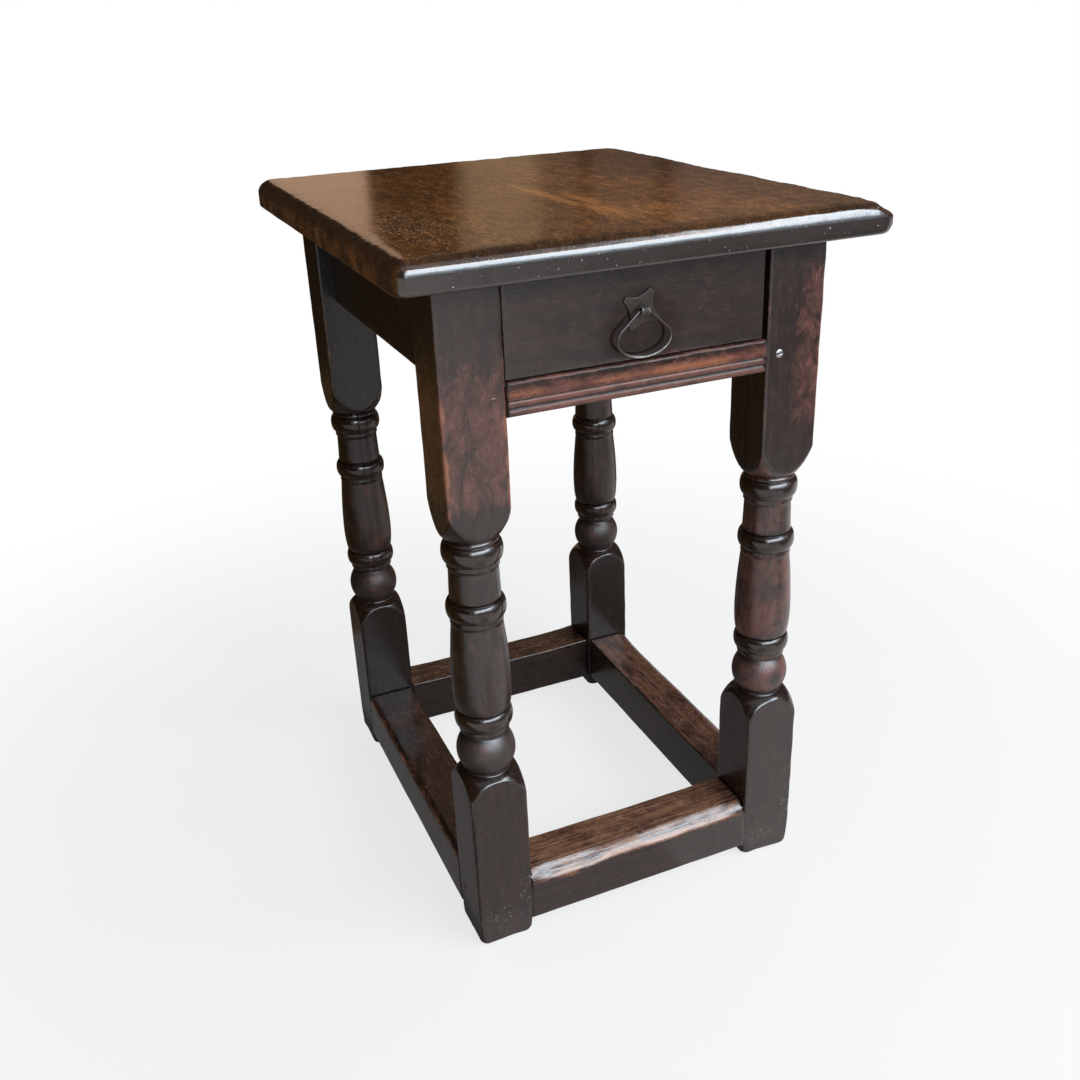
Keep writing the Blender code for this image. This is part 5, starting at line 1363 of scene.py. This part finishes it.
FLOOR_CLOTHS = (             # corners of each cloth on the floor that only the polish shows, and its colour
    ((-4.0, -0.35), (-0.45, 4.0), (0.108, 0.062, 0.011)),
    ((-0.45, -0.35), (-0.159, 0.40), (0.18, 0.172, 0.170)),
    ((-0.45, 0.40), (4.0, 4.0), (0.090, 0.062, 0.042)),
    ((-0.159, -0.194), (0.35, 0.40), (0.20, 0.192, 0.19)),
    ((-0.159, -0.80), (0.05, -0.194), (0.64, 0.60, 0.61)),
    ((0.55, -4.0), (0.95, -2.60), (1.35, 1.33, 1.34)),
    ((0.55, -2.60), (0.95, -0.60), (0.42, 0.41, 0.425)),
    ((0.95, -4.0), (4.0, -2.60), (0.52, 0.51, 0.53)),
    ((0.95, -2.60), (4.0, -0.60), (0.21, 0.208, 0.22)),
)
CLOTH_LIFT = 0.0012
WINDOW_TURN = 24             # degrees to the right of the front
WINDOW_AWAY = 2.3
WINDOW_LEFT, WINDOW_RIGHT = -2.40, 2.2
WINDOW_LOW, WINDOW_HIGH = 1.30, 2.35
WINDOW_RISE = 1.6            # how far the window climbs towards its right end
WINDOW_SILL = 0.46           # height where the paler light under the window begins
ROOM_CLOTHS = (              # corners of the cloths round and over the table that only the polish shows
    ("Ceiling cloth", (-4.0, -0.90, ROOM_HEIGHT), (4.0, 4.0, ROOM_HEIGHT + 0.004), (0.035, 0.030, 0.027)),
    ("Ceiling cloth by the window", (-4.0, -4.0, ROOM_HEIGHT), (4.0, -0.90, ROOM_HEIGHT + 0.004), (0.52, 0.58, 0.68)),
    ("Left cloth", (-4.004, -4.0, 0.0), (-4.0, 4.0, ROOM_HEIGHT), (0.064, 0.037, 0.007)),
    ("Right cloth", (4.0, -4.0, 0.0), (4.004, 4.0, ROOM_HEIGHT), (0.100, 0.095, 0.092)),
    ("Front cloth", (-4.0, -4.004, 0.0), (4.0, -4.0, ROOM_HEIGHT), (0.100, 0.095, 0.092)),
)


class SIDETABLE_OT_stage(Operator):
    """Sets the floor, the lamps, the reflected screen and the camera"""
    bl_idname = "side_table.set_stage"
    bl_label = "Stage"

    def execute(self, context):
        look = context.scene.side_table_stage
        self.set_view(context.scene)
        self.lay_floor(look)
        self.set_room(context.scene, look)
        self.set_screen()
        self.set_lamp(look)
        self.hang_window(look)
        self.set_camera(context.scene)
        return {"FINISHED"}

    def set_view(self, scene):
        scene.view_settings.view_transform = "Standard"

    def seen(self, finish):
        """1 where the camera, a reflection or a refraction looks, else 0."""
        path = ("ShaderNodeLightPath", {}, {})
        rays = [finish.node(*path, ray) for ray in ("Is Camera Ray", "Is Glossy Ray", "Is Transmission Ray")]
        return finish.span(rays[0] + rays[1] + rays[2], 0.4, 0.6)

    def lay_floor(self, look):
        form = bmesh.new()
        bmesh.ops.create_grid(form, x_segments=8, y_segments=8, size=FLOOR_REACH)
        finish = Finish("Pale floor")
        grain = finish.cloud(finish.place, 3.0, 3.0, 0.5)
        matt = finish.node("ShaderNodeBsdfDiffuse", {}, {"Color": finish.blend(
            grain * 0.05, look.floor, (0.80, 0.80, 0.80))})
        glow = finish.node("ShaderNodeEmission", {}, {"Color": (1.0, 1.0, 1.0, 1.0), "Strength": 1.0})
        away = finish.node("ShaderNodeVectorMath", {"operation": "LENGTH"}, {0: finish.place}, "Value")
        lift = look.floor_lift + finish.span(away, 0.35, 1.1) * (1 - look.floor_lift)
        mixed = finish.node("ShaderNodeMixShader", {}, {0: self.seen(finish) * lift, 1: matt, 2: glow})
        finish.node("ShaderNodeOutputMaterial", {}, {"Surface": mixed})
        floor = lay(form, "Floor", finish.material)

    def set_room(self, scene, look):
        room = Finish("Room", bpy.data.worlds.new("Room"))
        scene.world = room.material
        plain = room.node("ShaderNodeBackground", {}, {"Color": (1.0, 0.985, 0.965, 1.0), "Strength": look.room})
        white = room.node("ShaderNodeBackground", {}, {"Color": (1.0, 1.0, 1.0, 1.0), "Strength": 1.0})
        mixed = room.node("ShaderNodeMixShader", {}, {0: self.seen(room), 1: plain, 2: white})
        room.node("ShaderNodeOutputWorld", {}, {"Surface": mixed})

    def set_screen(self):
        finish = Finish("Screen cloth")
        across = self.axis_of(finish, "X")
        colour = SCREEN_FIRST
        for start, softness, band in SCREEN_BANDS:
            colour = finish.blend(finish.span(across, start - softness / 2, start + softness / 2), colour, band)
        form = block((-SCREEN_REACH, SCREEN_AT, 0.0), (SCREEN_REACH, SCREEN_AT + 0.004, ROOM_HEIGHT))
        self.hang("Screen", form, finish, colour)
        for name, low, high, colour in ROOM_CLOTHS:
            self.hang(name, block(low, high), Finish(name), (*colour, 1.0))
        for number, (near, far, colour) in enumerate(FLOOR_CLOTHS, 1):
            name = f"Floor cloth {number}"
            form = block((*near, CLOTH_LIFT / 2), (*far, CLOTH_LIFT))
            self.hang(name, form, Finish(name), (*colour, 1.0))

    def hang_window(self, look):
        """The window that the polish shows, with paler light under it."""
        finish = Finish("Window cloth")
        turn = math.radians(WINDOW_TURN)
        along = self.axis_of(finish, "X") * math.cos(turn) + self.axis_of(finish, "Y") * math.sin(turn)
        rise = finish.span(along, 0.45, 1.50)
        height = self.axis_of(finish, "Z") - rise * WINDOW_RISE
        pane = finish.span(height, WINDOW_LOW - 0.58, WINDOW_LOW)
        jamb = 1 - finish.span(along, WINDOW_LEFT + 0.10, WINDOW_LEFT + 0.20)
        over = finish.span(height, WINDOW_HIGH, WINDOW_HIGH + 0.45)
        low = finish.blend(rise * 0.7, [look.glow * part ** 3 for part in look.key_colour], (0.3, 0.33, 0.36))
        colour = finish.blend(pane, low, [look.window * part ** 2.2 for part in look.key_colour])
        colour = finish.blend(jamb, colour, [look.window * part for part in look.key_colour])
        colour = finish.blend(over, colour, [0.9 * part ** 2 for part in look.key_colour])
        form = block((WINDOW_LEFT, -WINDOW_AWAY - 0.004, WINDOW_SILL), (WINDOW_RIGHT, -WINDOW_AWAY, ROOM_HEIGHT))
        bmesh.ops.rotate(form, cent=(0.0, 0.0, 0.0), matrix=Matrix.Rotation(turn, 3, "Z"), verts=form.verts)
        self.hang("Window cloth", form, finish, colour)

    def axis_of(self, finish, axis):
        """One coordinate of a place."""
        return finish.node("ShaderNodeSeparateXYZ", {}, {0: finish.place}, axis)

    def hang(self, name, form, finish, colour):
        """Makes a form into a cloth that only the polish shows."""
        glow = finish.node("ShaderNodeEmission", {}, {"Color": colour, "Strength": 1.0})
        finish.node("ShaderNodeOutputMaterial", {}, {"Surface": glow})
        cloth = lay(form, name, finish.material)
        cloth.visible_camera = cloth.visible_diffuse = cloth.visible_shadow = False

    def set_lamp(self, look):
        """The light of the window, which the polish doesn't show."""
        lamp = bpy.data.lights.new("Window lamp", "AREA")
        lamp.shape, lamp.size, lamp.size_y = "RECTANGLE", LAMP_WIDE, LAMP_HIGH
        lamp.energy = math.pi * LAMP_WIDE * LAMP_HIGH * look.key
        lamp.color = look.key_colour
        holder = bpy.data.objects.new("Window lamp", lamp)
        away = Vector((math.sin(LAMP_TURN) * math.cos(LAMP_RISE), -math.cos(LAMP_TURN) * math.cos(LAMP_RISE),
                       math.sin(LAMP_RISE)))
        holder.location = LAMP_AIM + away * LAMP_AWAY
        holder.rotation_euler = away.to_track_quat("Z", "Y").to_euler()
        holder.visible_camera = holder.visible_glossy = False
        bpy.context.scene.collection.objects.link(holder)

    def set_camera(self, scene):
        lens = bpy.data.cameras.new("Camera")
        lens.sensor_fit = "HORIZONTAL"
        lens.sensor_width, lens.lens = 36.0, CAMERA_LENS
        lens.clip_start, lens.clip_end = 0.01, 100.0
        camera = bpy.data.objects.new("Camera", lens)
        ahead = Vector((-math.sin(CAMERA_TURN) * math.cos(CAMERA_TILT),
                        math.cos(CAMERA_TURN) * math.cos(CAMERA_TILT), -math.sin(CAMERA_TILT)))
        right = Vector((math.cos(CAMERA_TURN), math.sin(CAMERA_TURN), 0.0))
        down = ahead.cross(right)
        across = right * math.cos(CAMERA_ROLL) + down * math.sin(CAMERA_ROLL)
        below = down * math.cos(CAMERA_ROLL) - right * math.sin(CAMERA_ROLL)
        turn = Matrix((across, -below, -ahead)).transposed().to_4x4()
        camera.matrix_world = Matrix.Translation(CAMERA_PLACE) @ turn
        scene.collection.objects.link(camera)
        scene.camera = camera


OPERATORS = (
    SIDETABLE_OT_top, SIDETABLE_OT_legs, SIDETABLE_OT_stretchers, SIDETABLE_OT_rails, SIDETABLE_OT_drawer_rail,
    SIDETABLE_OT_drawer_front, SIDETABLE_OT_linings, SIDETABLE_OT_fixings, SIDETABLE_OT_handle,
    SIDETABLE_OT_stage,
)


class SIDETABLE_PT_panel(Panel):
    """Lists the pieces of the side table and their sizes and colours"""
    bl_idname = "SIDETABLE_PT_panel"
    bl_label = "Side table"
    bl_space_type = "VIEW_3D"
    bl_region_type = "UI"
    bl_category = "Side table"

    def draw(self, context):
        for operator in OPERATORS:
            self.layout.operator(operator.bl_idname)
        for name, group in GROUPS.items():
            box = self.layout.box()
            box.label(text=group.__doc__)
            for field in group.__annotations__:
                box.prop(getattr(context.scene, name), field)


CLASSES = (*GROUPS.values(), *OPERATORS, SIDETABLE_PT_panel)


def register():
    """Registers the classes and their settings."""
    for made in CLASSES:
        bpy.utils.register_class(made)
    for name, group in GROUPS.items():
        setattr(bpy.types.Scene, name, PointerProperty(type=group))


def unregister():
    """Takes the classes and their settings away again."""
    for name in GROUPS:
        delattr(bpy.types.Scene, name)
    for made in reversed(CLASSES):
        bpy.utils.unregister_class(made)


def main():
    """Makes the whole table and its stage."""
    register()
    for operator in OPERATORS:
        family, name = operator.bl_idname.split(".")
        getattr(getattr(bpy.ops, family), name)()


if __name__ == "__main__":
    main()
